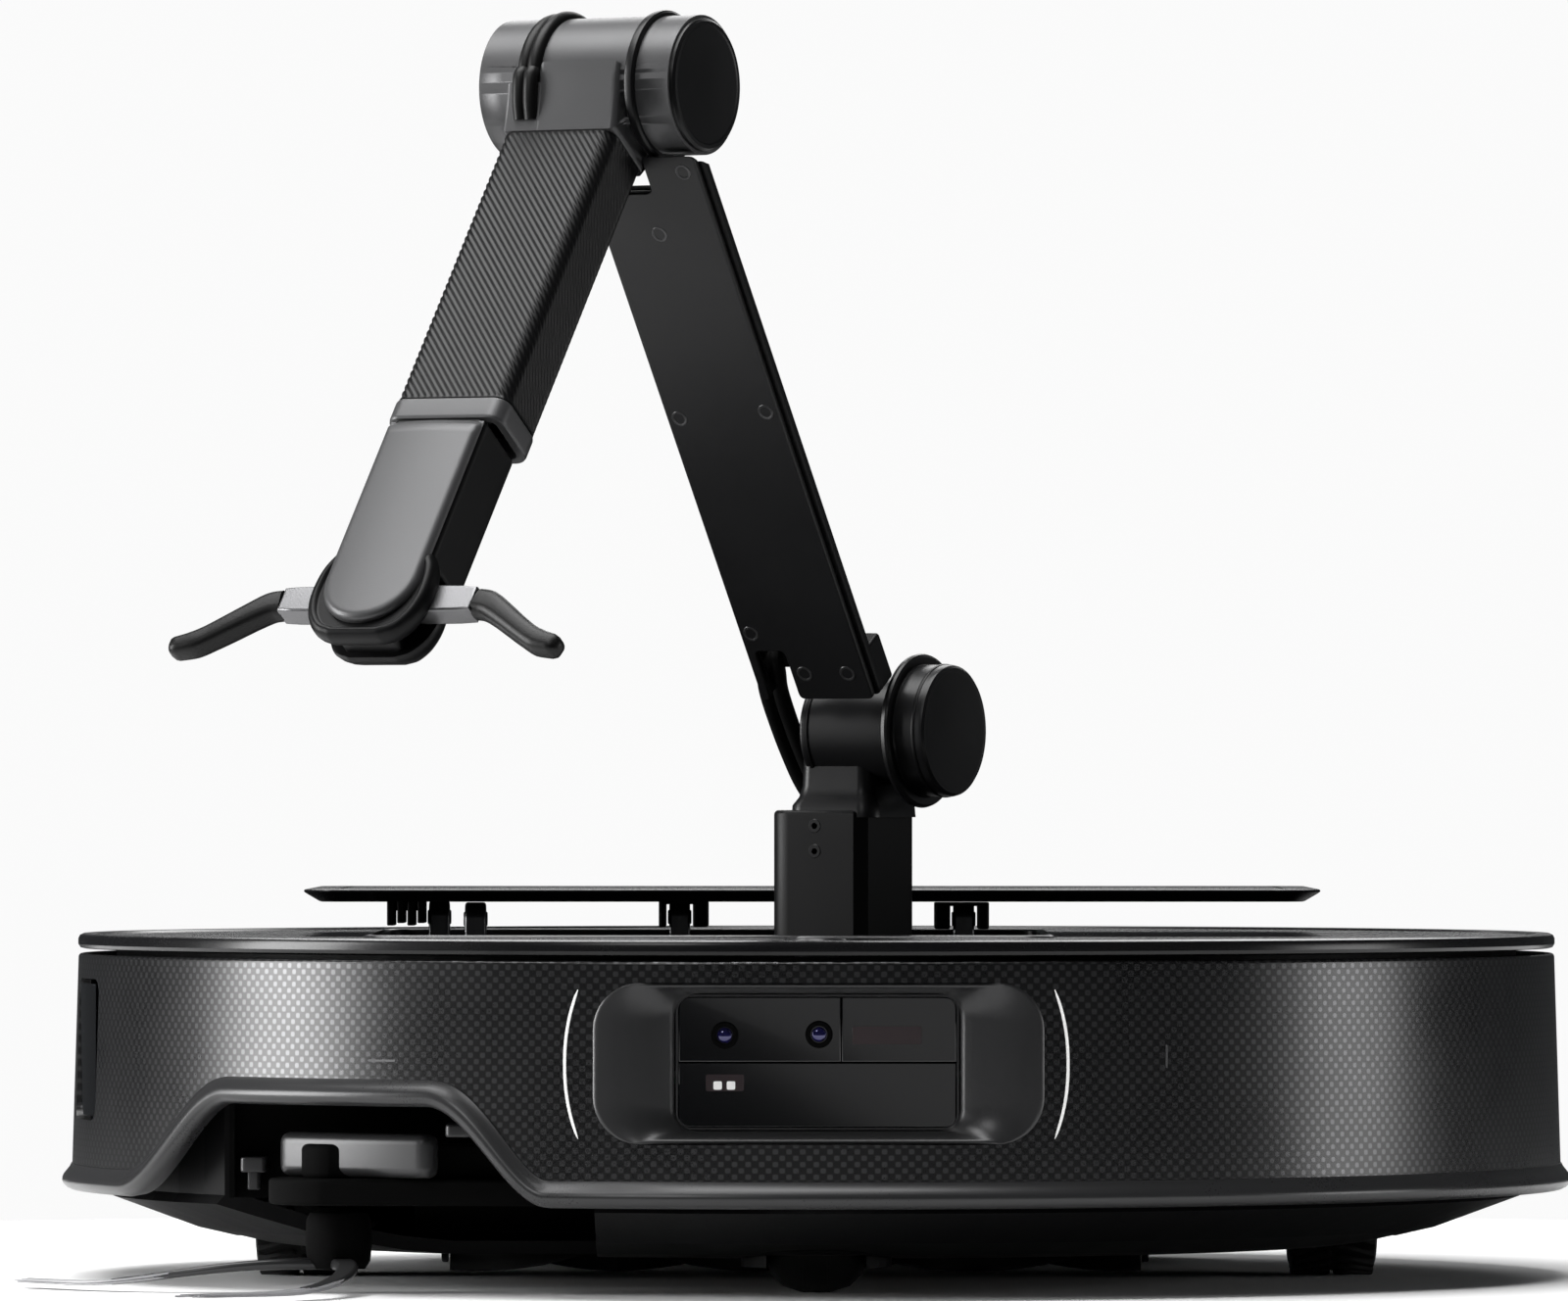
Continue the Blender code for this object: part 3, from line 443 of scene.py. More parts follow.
LENS = Finish("lens_coating", (0.012, 0.010, 0.09), 0.08, metallic=0.5, uneven=0.5, spread=0.01, grain=0.0,
              coat=1.0)
EMITTER = Finish("emitter_window", (0.030, 0.020, 0.022), 0.2, uneven=0.3, grain=0.1, grain_size=1.2,
                 coat=0.3)
MATT = Finish("matt_inside", (0.002, 0.002, 0.002), 0.8, grain=0.3, specular=0.05)
BRISTLE = Finish("bristle_nylon", (0.30, 0.30, 0.31), 0.35, uneven=0.3, grain=0.1)


# ---------------------------------------------------------------- pieces

def make(name, shape, body, slot, where=WORLD, hides=(), finish=None, sharp=38.0, bevel=0.0):
    """Turn a shape into a finished piece that rides on a body."""
    shape.transform(Matrix.Scale(MM, 4) @ where)
    bmesh.ops.recalc_face_normals(shape, faces=shape.faces[:])
    mesh = bpy.data.meshes.new(name)
    shape.to_mesh(mesh)
    shape.free()
    mesh.shade_smooth()
    mesh.set_sharp_from_angle(angle=math.radians(sharp))
    mesh.materials.append((finish or LOOKS[slot]).material)
    item = bpy.data.objects.new(name, mesh)
    bpy.context.scene.collection.objects.link(item)
    if bevel:
        step = item.modifiers.new("soft_edges", "BEVEL")
        step.width = bevel * MM
        step.segments = 2
        step.limit_method = "ANGLE"
        step.angle_limit = math.radians(32.0)
        step.harden_normals = True
    if body:
        even = item.modifiers.new("even_normals", "WEIGHTED_NORMAL")
        even.keep_sharp = True
        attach(item, body)
    if hides:
        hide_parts(*hides)
    return item


def dress_frame():
    """Give every CAD node that still shows its finish."""
    slots = {row["node"]: row["material_slot"] for row in frame["record"]["subparts"]}
    for name, node in frame["nodes"].items():
        node.data.materials.clear()
        node.data.materials.append(LOOKS[slots[name]].material)


def screw(radius=1.4, depth=0.5):
    """A small flat-headed screw with a hexagonal recess, its top at height zero."""
    steps = 24
    turns = [2 * math.pi * i / steps for i in range(steps)]
    hexagon = [radius * 0.5 / math.cos((a + math.pi / 6) % (math.pi / 3) - math.pi / 6) for a in turns]
    rings = []
    for sizes, height in (([radius] * steps, -depth), ([radius] * steps, -0.12),
                          ([radius - 0.15] * steps, 0.0), (hexagon, 0.0), (hexagon, -depth * 0.8)):
        rings.append([(s * math.cos(a), s * math.sin(a), height) for s, a in zip(sizes, turns)])
    return loft(rings)


# ---------------------------------------------------------------- round body

def foot_height(phi):
    """How high the wall's lower edge runs, at an angle from straight ahead."""
    x = BODY_RADIUS * math.sin(phi)
    rise = smooth_step(x, *NOTCH_LEFT) * (1 - smooth_step(x, *NOTCH_RIGHT))
    return WALL_FOOT + (NOTCH_TOP - WALL_FOOT) * rise


def lip_height(phi):
    """The lip keeps its width across where its edge climbs."""
    step = 0.002
    slope = (foot_height(phi + step) - foot_height(phi - step)) / (2 * step * BODY_RADIUS)
    return LIP_HEIGHT * math.sqrt(1 + slope * slope)


def wall_radius(z):
    return WALL_TOP_RADIUS + (WALL_TOP - z) * WALL_DRAFT


def ring_wall(section, start, end, steps):
    """A ring piece from one angle from straight ahead to another; section gives (radius, height) points."""
    rings = []
    for i in range(steps + 1):
        phi = math.radians(start + (end - start) * i / steps)
        rings.append([(r * math.sin(phi), -r * math.cos(phi), z) for r, z in section(phi)])
    return loft(rings)


def wall_section(phi):
    """The wall above the lip: a smooth outer face, a rounded top and a plain inside."""
    low = foot_height(phi) + lip_height(phi)
    levels = [low + (WALL_TOP - 0.8 - low) * i / 12 for i in range(13)]
    outer = [(wall_radius(z), z) for z in levels]
    top = [(wall_radius(WALL_TOP) - 0.8 * (1 - math.cos(math.radians(a))),
            WALL_TOP - 0.8 + 0.8 * math.sin(math.radians(a))) for a in (30, 60, 90)]
    return outer + top + [(WALL_INSIDE, WALL_TOP), (WALL_INSIDE, low)]


def lip_section(phi):
    """The flared lip that runs under the wall and follows the notch."""
    foot, height = foot_height(phi), lip_height(phi)
    shares = ((1.0, -0.25), (0.99, 0.05), (0.86, 0.22), (0.72, 0.52), (0.58, 0.83), (0.46, 0.97), (0.34, 1.0),
              (0.20, 0.86), (0.09, 0.55), (0.02, 0.1), (0.0, -0.5))
    outer = [(wall_radius(foot + height) + 0.1 + LIP_DEPTH * out, foot + height * up) for up, out in shares]
    return outer[::-1] + [(WALL_INSIDE, foot + height * 0.99), (WALL_INSIDE, foot + 0.4)]


def tunnel_ring(share):
    """One ring of the camera tunnel, from the wall (0) to the window frame (1)."""
    middle_x = (RECESS_LOW.x + RECESS_HIGH.x) / 2
    window_x = (WINDOW_LOW.x + WINDOW_HIGH.x) / 2
    middle_z = (RECESS_LOW.z + RECESS_HIGH.z) / 2
    window_z = (WINDOW_LOW.z + WINDOW_HIGH.z) / 2
    outer = (RECESS_HIGH.x - RECESS_LOW.x, RECESS_HIGH.z - RECESS_LOW.z, 10.5)
    inner = (WINDOW_HIGH.x - WINDOW_LOW.x + 1.6, WINDOW_HIGH.z - WINDOW_LOW.z + 1.4, 5.0)
    ease = share ** 0.8
    size = [a + (b - a) * ease for a, b in zip(outer, inner)]
    centre = (middle_x + (window_x - middle_x) * ease, middle_z + (window_z - middle_z) * ease)
    ring = []
    back = WINDOW_LOW.y - 0.8
    sink = share ** 1.5
    for x, z in rounded(size[0], size[1], size[2], 10, centre):
        front = -math.sqrt(wall_radius(z) ** 2 - x * x)
        ring.append((x, front + (back - front) * sink, z))
    return ring


def make_walls():
    """Bumper and rear wall with their lips, the camera tunnel and what looks out of it."""
    end = math.degrees(math.acos(-BUMPER_END / BODY_RADIUS))
    wall = ring_wall(wall_section, -end, end, 300)
    hole = [(p[0], p[2]) for p in tunnel_ring(0.0)]
    cutter = slab(inset(hole, -0.1), 120.0, 190.0, 0.1, 1)
    cutter.transform(FRONT)
    slot = slab(rounded(27.6, 33.0, 4.0, centre=(-36.5, 46.0)), -190.0, -160.0, 0.1, 1)
    slot.transform(SIDE)
    wall = boolean(wall, [cutter, slot])
    make("bumper_wall", wall, "bumper_body", "body_plastic", hides=["bumper"], finish=WALL, sharp=30)
    make("bumper_lip", ring_wall(lip_section, -end, end, 420), "bumper_body", "body_plastic", finish=LIP)

    start = math.degrees(math.acos(-REAR_END / BODY_RADIUS))
    make("rear_wall", ring_wall(wall_section, start, 360.0 - start, 240), "chassis", "body_plastic",
         hides=["rear_shell"], finish=WALL)
    make("rear_lip", ring_wall(lip_section, start, 360.0 - start, 240), "chassis", "body_plastic", finish=LIP)

    rings = []
    for share in (0.0, 0.03, 0.1, 0.2, 0.32, 0.45, 0.58, 0.7, 0.82, 0.92, 1.0):
        rings.append(tunnel_ring(share))
    back = [(x, y + 1.6, z) for x, y, z in tunnel_ring(1.0)]
    outside = []
    for share in (1.0, 0.6, 0.25, 0.02):
        grown = inset([(p[0], p[2]) for p in tunnel_ring(share)], -1.4)
        outside.append([(q.x, p[1] + 1.7, q.y) for p, q in zip(tunnel_ring(share), grown)])
    make("camera_tunnel", loft(rings + [back] + outside, loop=True), "bumper_body", "body_plastic",
         hides=["camera_recess"], finish=TUNNEL, sharp=60)
    make_window()
    make_wall_marks()


def make_window():
    """The black window in three panes, with two lenses, an emitter and a pair of lamps behind it."""
    low, high = WINDOW_LOW, WINDOW_HIGH
    seam_x, seam_z, gap, corner_size = 5.6, 45.4, 0.22, 2.8
    front = -low.y + 0.2
    panes = [((low.x, seam_z), (seam_x, high.z), "left"), ((seam_x, seam_z), (high.x, high.z), "right"),
             ((low.x, low.z), (high.x, seam_z), "lower")]
    for start, finish, side in panes:
        corners = []
        for x, z in ((start[0], start[1]), (finish[0], start[1]), (finish[0], finish[1]),
                     (start[0], finish[1])):
            outer = x in (low.x, high.x) and z in (low.z, high.z)
            at_x = x + (gap / 2 if x == start[0] else -gap / 2)
            at_z = z + (gap / 2 if z == start[1] else -gap / 2)
            corner = Vector((at_x, at_z))
            if outer:
                toward_x = Vector((corner_size if x == start[0] else -corner_size, 0))
                toward_z = Vector((0, corner_size if z == start[1] else -corner_size))
                order = (toward_z, toward_x) if (x == start[0]) == (z == start[1]) else (toward_x, toward_z)
                for i in range(6):
                    t = i / 5
                    corners.append((corner + order[0]) * (1 - t) ** 2 + corner * 2 * t * (1 - t)
                                   + (corner + order[1]) * t * t)
            else:
                corners.append(corner)
        hides = ["camera_window"] if side == "lower" else []
        make(f"window_{side}", slab(corners, front - 2.2, front, 0.25), "bumper_body", "window_glass", FRONT,
             hides=hides)
    frame_outline = rounded(high.x - low.x + 1.2, high.z - low.z + 1.2, 3.6, 8,
                            ((low.x + high.x) / 2, (low.z + high.z) / 2))
    rings = [[(p.x, p.y, z) for p in inset(frame_outline, d)] for d, z in
             ((0.0, front - 1.0), (0.0, front + 0.15), (0.15, front + 0.35), (0.5, front + 0.35),
              (0.65, front + 0.1), (0.65, front - 1.0))]
    make("window_rim", loft(rings, loop=True), "bumper_body", "body_plastic", FRONT, finish=TUNNEL)
    for index, (x, z) in enumerate(((-20.6, 51.5), (0.6, 51.7))):
        dome = [(0.0, 0.75), (0.9, 0.6), (1.6, 0.2), (1.8, -0.2), (0.0, -0.2)]
        make(f"lens_{index}", turned(dome, 32), "bumper_body", "window_glass", at(x, z, front, FRONT),
             finish=LENS)
        make(f"lens_ring_{index}", turned([(1.9, 0.05), (2.1, 0.35), (2.8, 0.35), (3.1, 0.05), (3.1, -0.5),
                                           (1.9, -0.5)],
                                          40), "bumper_body", "window_glass", at(x, z, front, FRONT),
             finish=MATT)
    emitter = rounded(15.6, 4.0, 0.4, 3, (15.9, 51.5))
    make("emitter", slab(emitter, front - 0.3, front + 0.08, 0.05, 1), "bumper_body", "window_glass", FRONT,
         finish=EMITTER)
    make("lamp_bed", slab(rounded(8.6, 3.8, 0.4, 3, (-20.6, 40.8)), front - 0.3, front + 0.06, 0.05, 1),
         "bumper_body", "window_glass", FRONT, finish=EMITTER)
    lamps = [slab(rounded(1.9, 1.9, 0.3, 3, (x, 40.2)), front - 0.2, front + 0.22, 0.1, 2)
             for x in (-22.2, -19.2)]
    make("lamps", together(lamps), "bumper_body", "light_white", FRONT)


def make_wall_marks():
    """The two thin curved white lines by the tunnel, with a painted glow, the wall sensor and two small ruled
    lines.
    """
    low, high = node_box("light_strip_left")[0].z, node_box("light_strip_left")[1].z
    for side, sign in (("left", -1), ("right", 1)):
        rings = []
        for i in range(25):
            share = -1 + 2 * i / 24
            z = (low + high) / 2 + share * (high - low) / 2
            x = sign * (56.6 - 3.0 * abs(share) ** 2.2)
            half = 0.34 * math.sqrt(max(1 - abs(share) ** 12, 0.05))
            ring = []
            for across, out in ((-half, -1.2), (-half, 0.10), (-half * 0.5, 0.18), (half * 0.5, 0.18),
                                (half, 0.10), (half, -1.2)):
                at_x = x + across
                ring.append((at_x, -math.sqrt(wall_radius(z) ** 2 - at_x ** 2) - out, z))
            rings.append(ring)
        # These lines glow with painted light from the light_white finish, since they are painted lines and
        # not lit.
        make(f"painted_glow_line_{side}", loft(rings), "bumper_body", "light_white", hides=[f"light_strip_{side}"])

    pane = ring_wall(lambda phi: [(174.6, 30.6), (174.6, 61.4), (172.6, 61.4), (172.6, 30.6)], -81.8, -74.4,
                     24)
    make("wall_sensor_pane", pane, "bumper_body", "window_glass", hides=["wall_sensor"])
    lines = []
    for x, z, width, height in ((-98.4, 45.4, 7.6, 0.5), (79.0, 46.6, 0.5, 5.4)):
        depth = math.sqrt(wall_radius(z) ** 2 - x * x)
        turn = Matrix.Rotation(math.asin(x / BODY_RADIUS), 4, "Z")
        line = slab(rounded(width, height, 0.2, 2), -0.6, 0.08, 0.04, 1)
        lines.append((line, at(x, -depth, z) @ turn @ FRONT))
    make("ruled_lines", merge(*lines), "bumper_body", "light_white", finish=LOOKS["grey_cover"])


def make_deck():
    """The top plate with its raised rim, arm bay opening and button ring."""
    r, top, low = DECK_RADIUS, DECK_HIGH, DECK_LOW
    profile = [(0, top - 0.6), (169.6, top - 0.6), (170.2, top - 0.1), (171.2, top), (173.2, top),
               (174.1, top - 0.4),
               (r, top - 1.2), (r, low + 1.0), (174.0, low + 0.2), (173.2, low), (0, low)]
    disc = turned(profile, 240)
    bay_low, bay_high = (-104.0, -62.0), (54.0, 96.0)
    middle = ((bay_low[0] + bay_high[0]) / 2, (bay_low[1] + bay_high[1]) / 2)
    size = (bay_high[0] - bay_low[0], bay_high[1] - bay_low[1])
    bay = slab(rounded(*size, 6.0, 8, middle), 60.0, 90.0, 0.1, 1)
    button = drum(5.6, 60.0, 90.0)
    button.transform(at(0, BUTTON_Y, 0))
    make("deck_plate", boolean(disc, [bay, button]), "chassis", "body_plastic", hides=["deck"], sharp=30)
    rim_outline = rounded(size[0] + 3.0, size[1] + 3.0, 7.5, 10, middle)
    rings = [[(p.x, p.y, z) for p in inset(rim_outline, d)] for d, z in
             ((0.0, top - 0.7), (0.2, top - 0.2), (0.8, top), (1.4, top - 0.1), (1.9, top - 0.6),
              (1.9, low - 1.5), (1.2, low - 1.5), (1.2, top - 0.7))]
    make("bay_rim", loft(rings, loop=True), "chassis", "body_plastic", finish=LIP, sharp=50)
    ring = turned([(5.6, top - 0.7), (5.8, top - 0.1), (6.6, top), (7.2, top - 0.7), (7.2, low + 1),
                   (5.6, low + 1)], 48)
    make("button_ring", ring, "chassis", "body_plastic", at(0, BUTTON_Y, 0), finish=LIP)
    cap = turned([(0, 73.3), (3.6, 73.45), (4.6, 73.1), (5.0, 72.4), (5.0, 66.2), (0, 66.2)], 48)
    make("button_cap", cap, "button", "grey_cover", at(0, BUTTON_Y, 0), hides=["power_button"])


def make_brush_bay():
    """The dark lining of the notch, with the small fittings at its left and right."""
    outline = [(-134.6, -97.5), (-134.6, -103.0), (-133.4, -103.0), (-133.4, -96.7), (-52.6, -96.7),
               (-52.6, -145.0), (-51.4, -145.0), (-51.4, -95.5), (-133.4, -95.5)]
    make("bay_lining", slab(outline, 13.0, 38.6, 0.2, 1), "chassis", "pan_plastic", finish=MATT)
    bits = [block((-132.0, -105.0, 19.0), (-126.0, -96.0, 22.5), 1.2, 0.5),
            block((-130.6, -103.0, 15.0), (-127.4, -97.0, 19.2), 1.0, 0.4),
            block((-84.0, -145.0, 28.0), (-72.0, -130.0, 31.0), 1.5, 0.6),
            block((-68.0, -149.0, 22.0), (-63.0, -140.0, 31.0), 1.2, 0.5)]
    make("notch_fittings", together(bits), "chassis", "pan_plastic", finish=TUNNEL)


# ---------------------------------------------------------------- lid

LINK_SLOTS = {"lid_bracket_middle": -33.0, "lid_bracket_right": 35.0}    # where a link sits between cheeks


def make_lid():
    """A thin plate with undercut ends, its dark brackets and its bright links."""
    low, high = node_box("lid_plate")
    middle = ((low.x + high.x) / 2, (low.y + high.y) / 2)
    size = (high.x - low.x, high.y - low.y)
    rings = []
    for cut, z in ((4.2, low.z), (3.6, low.z + 0.15), (1.0, high.z - 1.3), (0.1, high.z - 0.7),
                   (0.0, high.z - 0.45), (0.15, high.z - 0.15), (0.6, high.z)):
        ring = rounded(size[0] - 2 * cut, size[1] - 2 * cut, 7.0 - cut * 0.5, 10, middle)
        rings.append([(x, y, z) for x, y in ring])
    make("lid_panel", loft(rings), "lid", "body_plastic", hides=["lid_plate"], sharp=25)
    groove = rounded(size[0] - 16, size[1] - 16, 4.0, 10, middle)
    rings = [[(p.x, p.y, z) for p in inset(groove, d)] for d, z in
             ((0.0, high.z - 0.4), (0.0, high.z + 0.0), (0.8, high.z + 0.0), (0.8, high.z - 0.4))]
    make("lid_line", loft(rings, loop=True), "lid", "body_plastic", finish=LIP)
    for name in ("lid_bracket_left", "lid_bracket_middle", "lid_bracket_right"):
        box_low, box_high = node_box(name)
        cheeks = []
        if name == "lid_bracket_left":
            for i in range(4):
                step = (box_high.x - box_low.x + 0.6) / 4
                cheeks.append(block((box_low.x + i * step, box_low.y, box_low.z + 0.6 * (i % 2)),
                                    (box_low.x + (i + 1) * step - 0.6, box_high.y, box_high.z), 0.5, 0.3))
            cheeks.append(block((box_low.x, box_low.y + 2, box_high.z - 2.4),
                                (box_high.x, box_high.y - 2, box_high.z)))
        else:
            slot = LINK_SLOTS[name]
            cheeks.append(block((box_low.x, box_low.y, box_low.z), (slot - 3.2, box_high.y, box_high.z), 1.0,
                                0.5))
            cheeks.append(block((slot + 3.2, box_low.y, box_low.z), (box_high.x, box_high.y, box_high.z),
                                1.0, 0.5))
            cheeks.append(block((box_low.x, box_low.y, box_high.z - 0.9),
                                (box_high.x, box_high.y, box_high.z), 1.0, 0.3))
        make(name + "_cheeks", together(cheeks), "lid", "pan_plastic", hides=[name])
    for name in ("front_link_left", "front_link_right", "rear_link_left", "rear_link_right"):
        box_low, box_high = node_box(name)
        x, y = (box_low.x + box_high.x) / 2, (box_low.y + box_high.y) / 2
        half, radius = (box_high.x - box_low.x) / 2, (box_high.y - box_low.y) / 2
        outline = arc((y, box_high.z - radius), radius, 0, 180, 17) + arc((y, box_low.z + radius), radius,
                                                                          180, 360, 17)
        arm = slab(outline, x - half, x + half, 0.7)
        pins = []
        for z in (box_high.z - radius, box_low.z + radius):
            pin = drum(1.7, -half - 0.35, half + 0.35, 0.25, steps=32)
            pins.append((pin, at(x, y, z) @ TURN_X))
        arm.transform(SIDE)
        make(name + "_arm", merge((arm, WORLD), *pins), name.split("_")[0] + "_links", "silver_metal",
             hides=[name])


# ---------------------------------------------------------------- arm

def across(where, along=0.0):
    """A place for shapes turned about the arm's own crosswise axis."""
    return at(0, 0, along, where) @ TURN_X


def make_turret():
    """The column with its two holes, and the shoulder motor housing."""
    low, high = 43.0, 102.0
    outline = (soften([(-43.9, 0), (-43.9, -12.4), (-30, -12.4)], 6.0, 8)[9:18]
               + [(-20.4, -12.4), (-17.7, -10.0)] + soften([(-17.6, 0), (-17.6, 12.4), (-30, 12.4)], 3.0,
                                                           5)[6:12]
               + soften([(-30, 12.4), (-43.9, 12.4), (-43.9, 0)], 4.0, 6)[7:14])
    column = slab(outline, low, high, 1.1, 4)
    holes = []
    for z in HOLE_LEVELS:
        hole = drum(1.3, -16.0, -9.0, 0.1, steps=24)
        hole.transform(at(-30.8, 0, z) @ turn_about("X", -90))
        holes.append(hole)
    column = boolean(column, holes)
    make("column_shell", column, "turret", "arm_metal", TURRET, hides=["column"], bevel=0.25, sharp=30)
    sockets = []
    for z in HOLE_LEVELS:
        ring = turned([(0.75, 0.12), (1.5, 0.12), (1.7, -0.05), (1.7, -0.8), (0.75, -0.8)], 28)
        sockets.append((ring, at(-30.8, -12.4, z) @ turn_about("X", 90)))
    make("column_sockets", merge(*sockets), "turret", "arm_housing", TURRET)
    table = drum(21.0, 34.0, 43.6, 0.8, steps=96)
    make("turntable", table, "turret", "arm_metal", at(*COLUMN, 0))

    profile = soften([(0, -35.0), (12.6, -35.0), (12.6, -10.7), (0, -10.7)], 0.8, 3)
    make("shoulder_barrel", turned(profile, 96), "turret", "arm_housing", across(SHOULDER),
         hides=["shoulder_housing"])
    band = [turned([(12.5, u), (12.9, u + 0.25), (12.9, u + 1.1), (12.5, u + 1.35), (12.0, u + 1.0),
                    (12.0, u + 0.3)], 96)
            for u in (-33.8, -13.4)]
    make("shoulder_bands", together(band), "turret", "arm_metal", across(SHOULDER))
    rings = []
    for z, grow in ((-20.2, 2.4), (-17.4, 2.2), (-15.5, 0.9), (-13.0, 0.2), (-9.0, 0.0), (-4.0, 0.0)):
        ring = rounded(18.6 + 2 * grow, 19.0 + 2 * grow, 3.0 + grow * 0.5, 8, (-27.4, 0.0))
        rings.append([(x, y, z) for x, y in ring])
    make("shoulder_neck", loft(rings), "turret", "arm_housing", SHOULDER)


def make_shoulder_drum():
    """The big drum on the outside of the shoulder, with its flat cap and raised ring."""
    profile = [(0, -0.25), (13.4, -0.25), (13.9, -0.05), (14.6, -0.1), (15.2, -0.6), (15.4, -1.4),
               (15.4, -7.6),
               (15.7, -8.0), (17.2, -8.0), (17.8, -8.4), (18.0, -9.0), (17.8, -9.9), (17.2, -10.3),
               (0, -10.3)]
    make("shoulder_cap", turned(profile, 120), "upper_arm", "arm_housing", across(UPPER),
         hides=["shoulder_drum"], sharp=30)
    seam = turned([(15.45, -3.3), (15.6, -3.1), (15.6, -2.6), (15.45, -2.4), (15.0, -2.4), (15.0, -3.3)], 120)
    make("shoulder_seam", seam, "upper_arm", "arm_metal", across(UPPER))


def joint_rooms():
    """What the slab is cut by: room for the elbow's drum and for the shoulder's."""
    rooms = []
    for radius, along in ((ELBOW_ROOM, UPPER_LENGTH), (SHOULDER_ROOM, 0.0)):
        room = drum(radius, -50, 0, 0.1, steps=96)
        room.transform(across(WORLD, along))
        rooms.append(room)
    return rooms


def make_upper_arm():
    """A thin slab with a screwed cover, its spine behind, and the elbow's outer drums."""
    points = [(-38.4, 19.2), (-36.0, 19.2), (-36.0, 32.6), (-28.2, 32.6), (-28.2, 19.2), (-8.4, 19.2),
              (-8.4, 167.6), (-22.2, 167.6), (-22.2, 157.8), (-38.4, 157.8)]
    outline = soften(points, 1.6, 4)
    cover = slab(outline, -SLAB_FRONT - 1.7, -SLAB_FRONT, 0.45)
    cover.transform(FRONT)
    make("slab_cover", boolean(cover, joint_rooms()), "upper_arm", "arm_housing", UPPER,
         hides=["upper_arm_cover"], sharp=30)
    points = [(-38.4, 19.6), (-36.0, 19.6), (-36.0, 32.6), (-28.2, 32.6), (-28.2, 19.6), (-7.4, 19.6),
              (-7.4, 166.4), (-22.2, 166.4), (-22.2, 157.6), (-38.4, 157.6)]
    back = slab(soften(points, 1.6, 4), -SLAB_FRONT - 4.3, -SLAB_FRONT - 1.85, 0.5)
    back.transform(FRONT)
    make("slab_back", boolean(back, joint_rooms()), "upper_arm", "arm_metal", UPPER, sharp=30)
    spine = block((-36.6, -11.6, 25.0), (-25.8, 2.8, 148.6), 3.0, 1.5)
    lug = block((-17.8, -11.8, 17.8), (-9.2, -3.4, 30.0), 1.0, 0.8)
    pads = [block((-35.0, 2.4, z), (-27.4, 3.0, z + 14.0), 1.5, 0.3) for z in (32.0, 80.0, 128.0)]
    make("slab_spine", together([spine, lug, *pads]), "upper_arm", "arm_metal", UPPER,
         hides=["upper_arm_frame"])

    places = [(-12.2, 163.2), (-23.8, 146.8), (-35.0, 97.0), (-11.6, 98.4), (-35.4, 37.6), (-24.6, 26.4),
              (-13.2, 26.4)]
    heads = [(screw(1.25, 0.6), at(u, SLAB_FRONT + 0.02, z) @ turn_about("X", 90)) for u, z in places]
    make("cover_screws", merge(*heads), "upper_arm", "silver_metal", UPPER, finish=LOOKS["arm_metal"])
    rings = [turned([(1.35, 0.04), (1.5, 0.1), (1.9, 0.1), (2.0, 0.0), (2.0, -0.3), (1.35, -0.3)], 28)
             for _ in places]
    spots = [at(u, SLAB_FRONT, z) @ turn_about("X", 90) for u, z in places]
    make("screw_seats", merge(*zip(rings, spots)), "upper_arm", "arm_housing", UPPER, finish=TUNNEL)

    where = across(UPPER, UPPER_LENGTH)
    cap = [(0, -9.0), (13.2, -9.0), (13.7, -8.75), (14.5, -8.8), (15.1, -9.3), (15.3, -10.0), (15.3, -11.0),
           (0, -11.0)]
    make("elbow_outer_cap", turned(cap, 120), "upper_arm", "arm_housing", where, hides=["elbow_cap"],
         sharp=30)
    body = [(0, -11.1), (15.3, -11.1), (15.35, -18.2), (15.7, -18.6), (16.7, -18.6), (17.2, -19.0),
            (17.3, -19.8), (17.1, -20.7), (16.6, -21.1), (0, -21.1)]
    make("elbow_drum", turned(body, 120), "upper_arm", "arm_housing", where, hides=["elbow_housing"],
         sharp=30)
    seam = turned([(15.4, -12.9), (15.6, -13.1), (15.6, -13.7), (15.4, -13.9), (15.0, -13.9), (15.0, -12.9)],
                  120)
    make("elbow_seam", seam, "upper_arm", "arm_metal", where)


def make_elbow():
    """The forearm's half of the elbow: barrel, cable spool and end cap."""
    where = across(FOREARM)
    barrel = [(0, -21.6), (14.8, -21.6), (15.4, -22.2), (15.5, -23.0), (15.5, -41.6), (15.2, -42.4),
              (14.6, -42.8), (0, -42.8)]
    # Painted highlight: the barrel wears the light grey cover finish instead of its dark housing one, so it
    # reads as lit from above.
    make("elbow_drive", turned(barrel, 120), "forearm", "arm_housing", where, hides=["elbow_barrel"],
         sharp=30, finish=LOOKS["grey_cover"])
    bands = [turned([(15.4, u), (15.8, u + 0.2), (15.8, u + 1.0), (15.4, u + 1.2), (15.0, u + 1.0),
                     (15.0, u + 0.2)], 120)
             for u in (-41.2, -24.0)]
    make("elbow_bands", together(bands), "forearm", "arm_metal", where)
    spool = turned([(0, -42.8), (12.6, -42.8), (11.8, -44.4), (11.6, -46.6), (11.8, -48.8), (12.8, -50.0),
                    (0, -50.0)], 96)
    make("elbow_spool", spool, "forearm", "rubber", where)
    end = [(0, -52.0), (13.0, -52.0), (14.4, -51.8), (15.1, -51.2), (15.2, -50.6), (14.9, -50.2), (0, -50.2)]
    make("elbow_end", turned(end, 120), "forearm", "arm_housing", where, hides=["elbow_end_cap"], sharp=30)
    screws = [(screw(1.1, 0.5), at(8.5 * math.cos(a), 8.5 * math.sin(a), -52.02) @ turn_about("X", 180))
              for a in (0.5, 0.5 + math.tau / 3, 0.5 + 2 * math.tau / 3)]
    make("elbow_end_screws", merge(*screws), "forearm", "silver_metal", where)


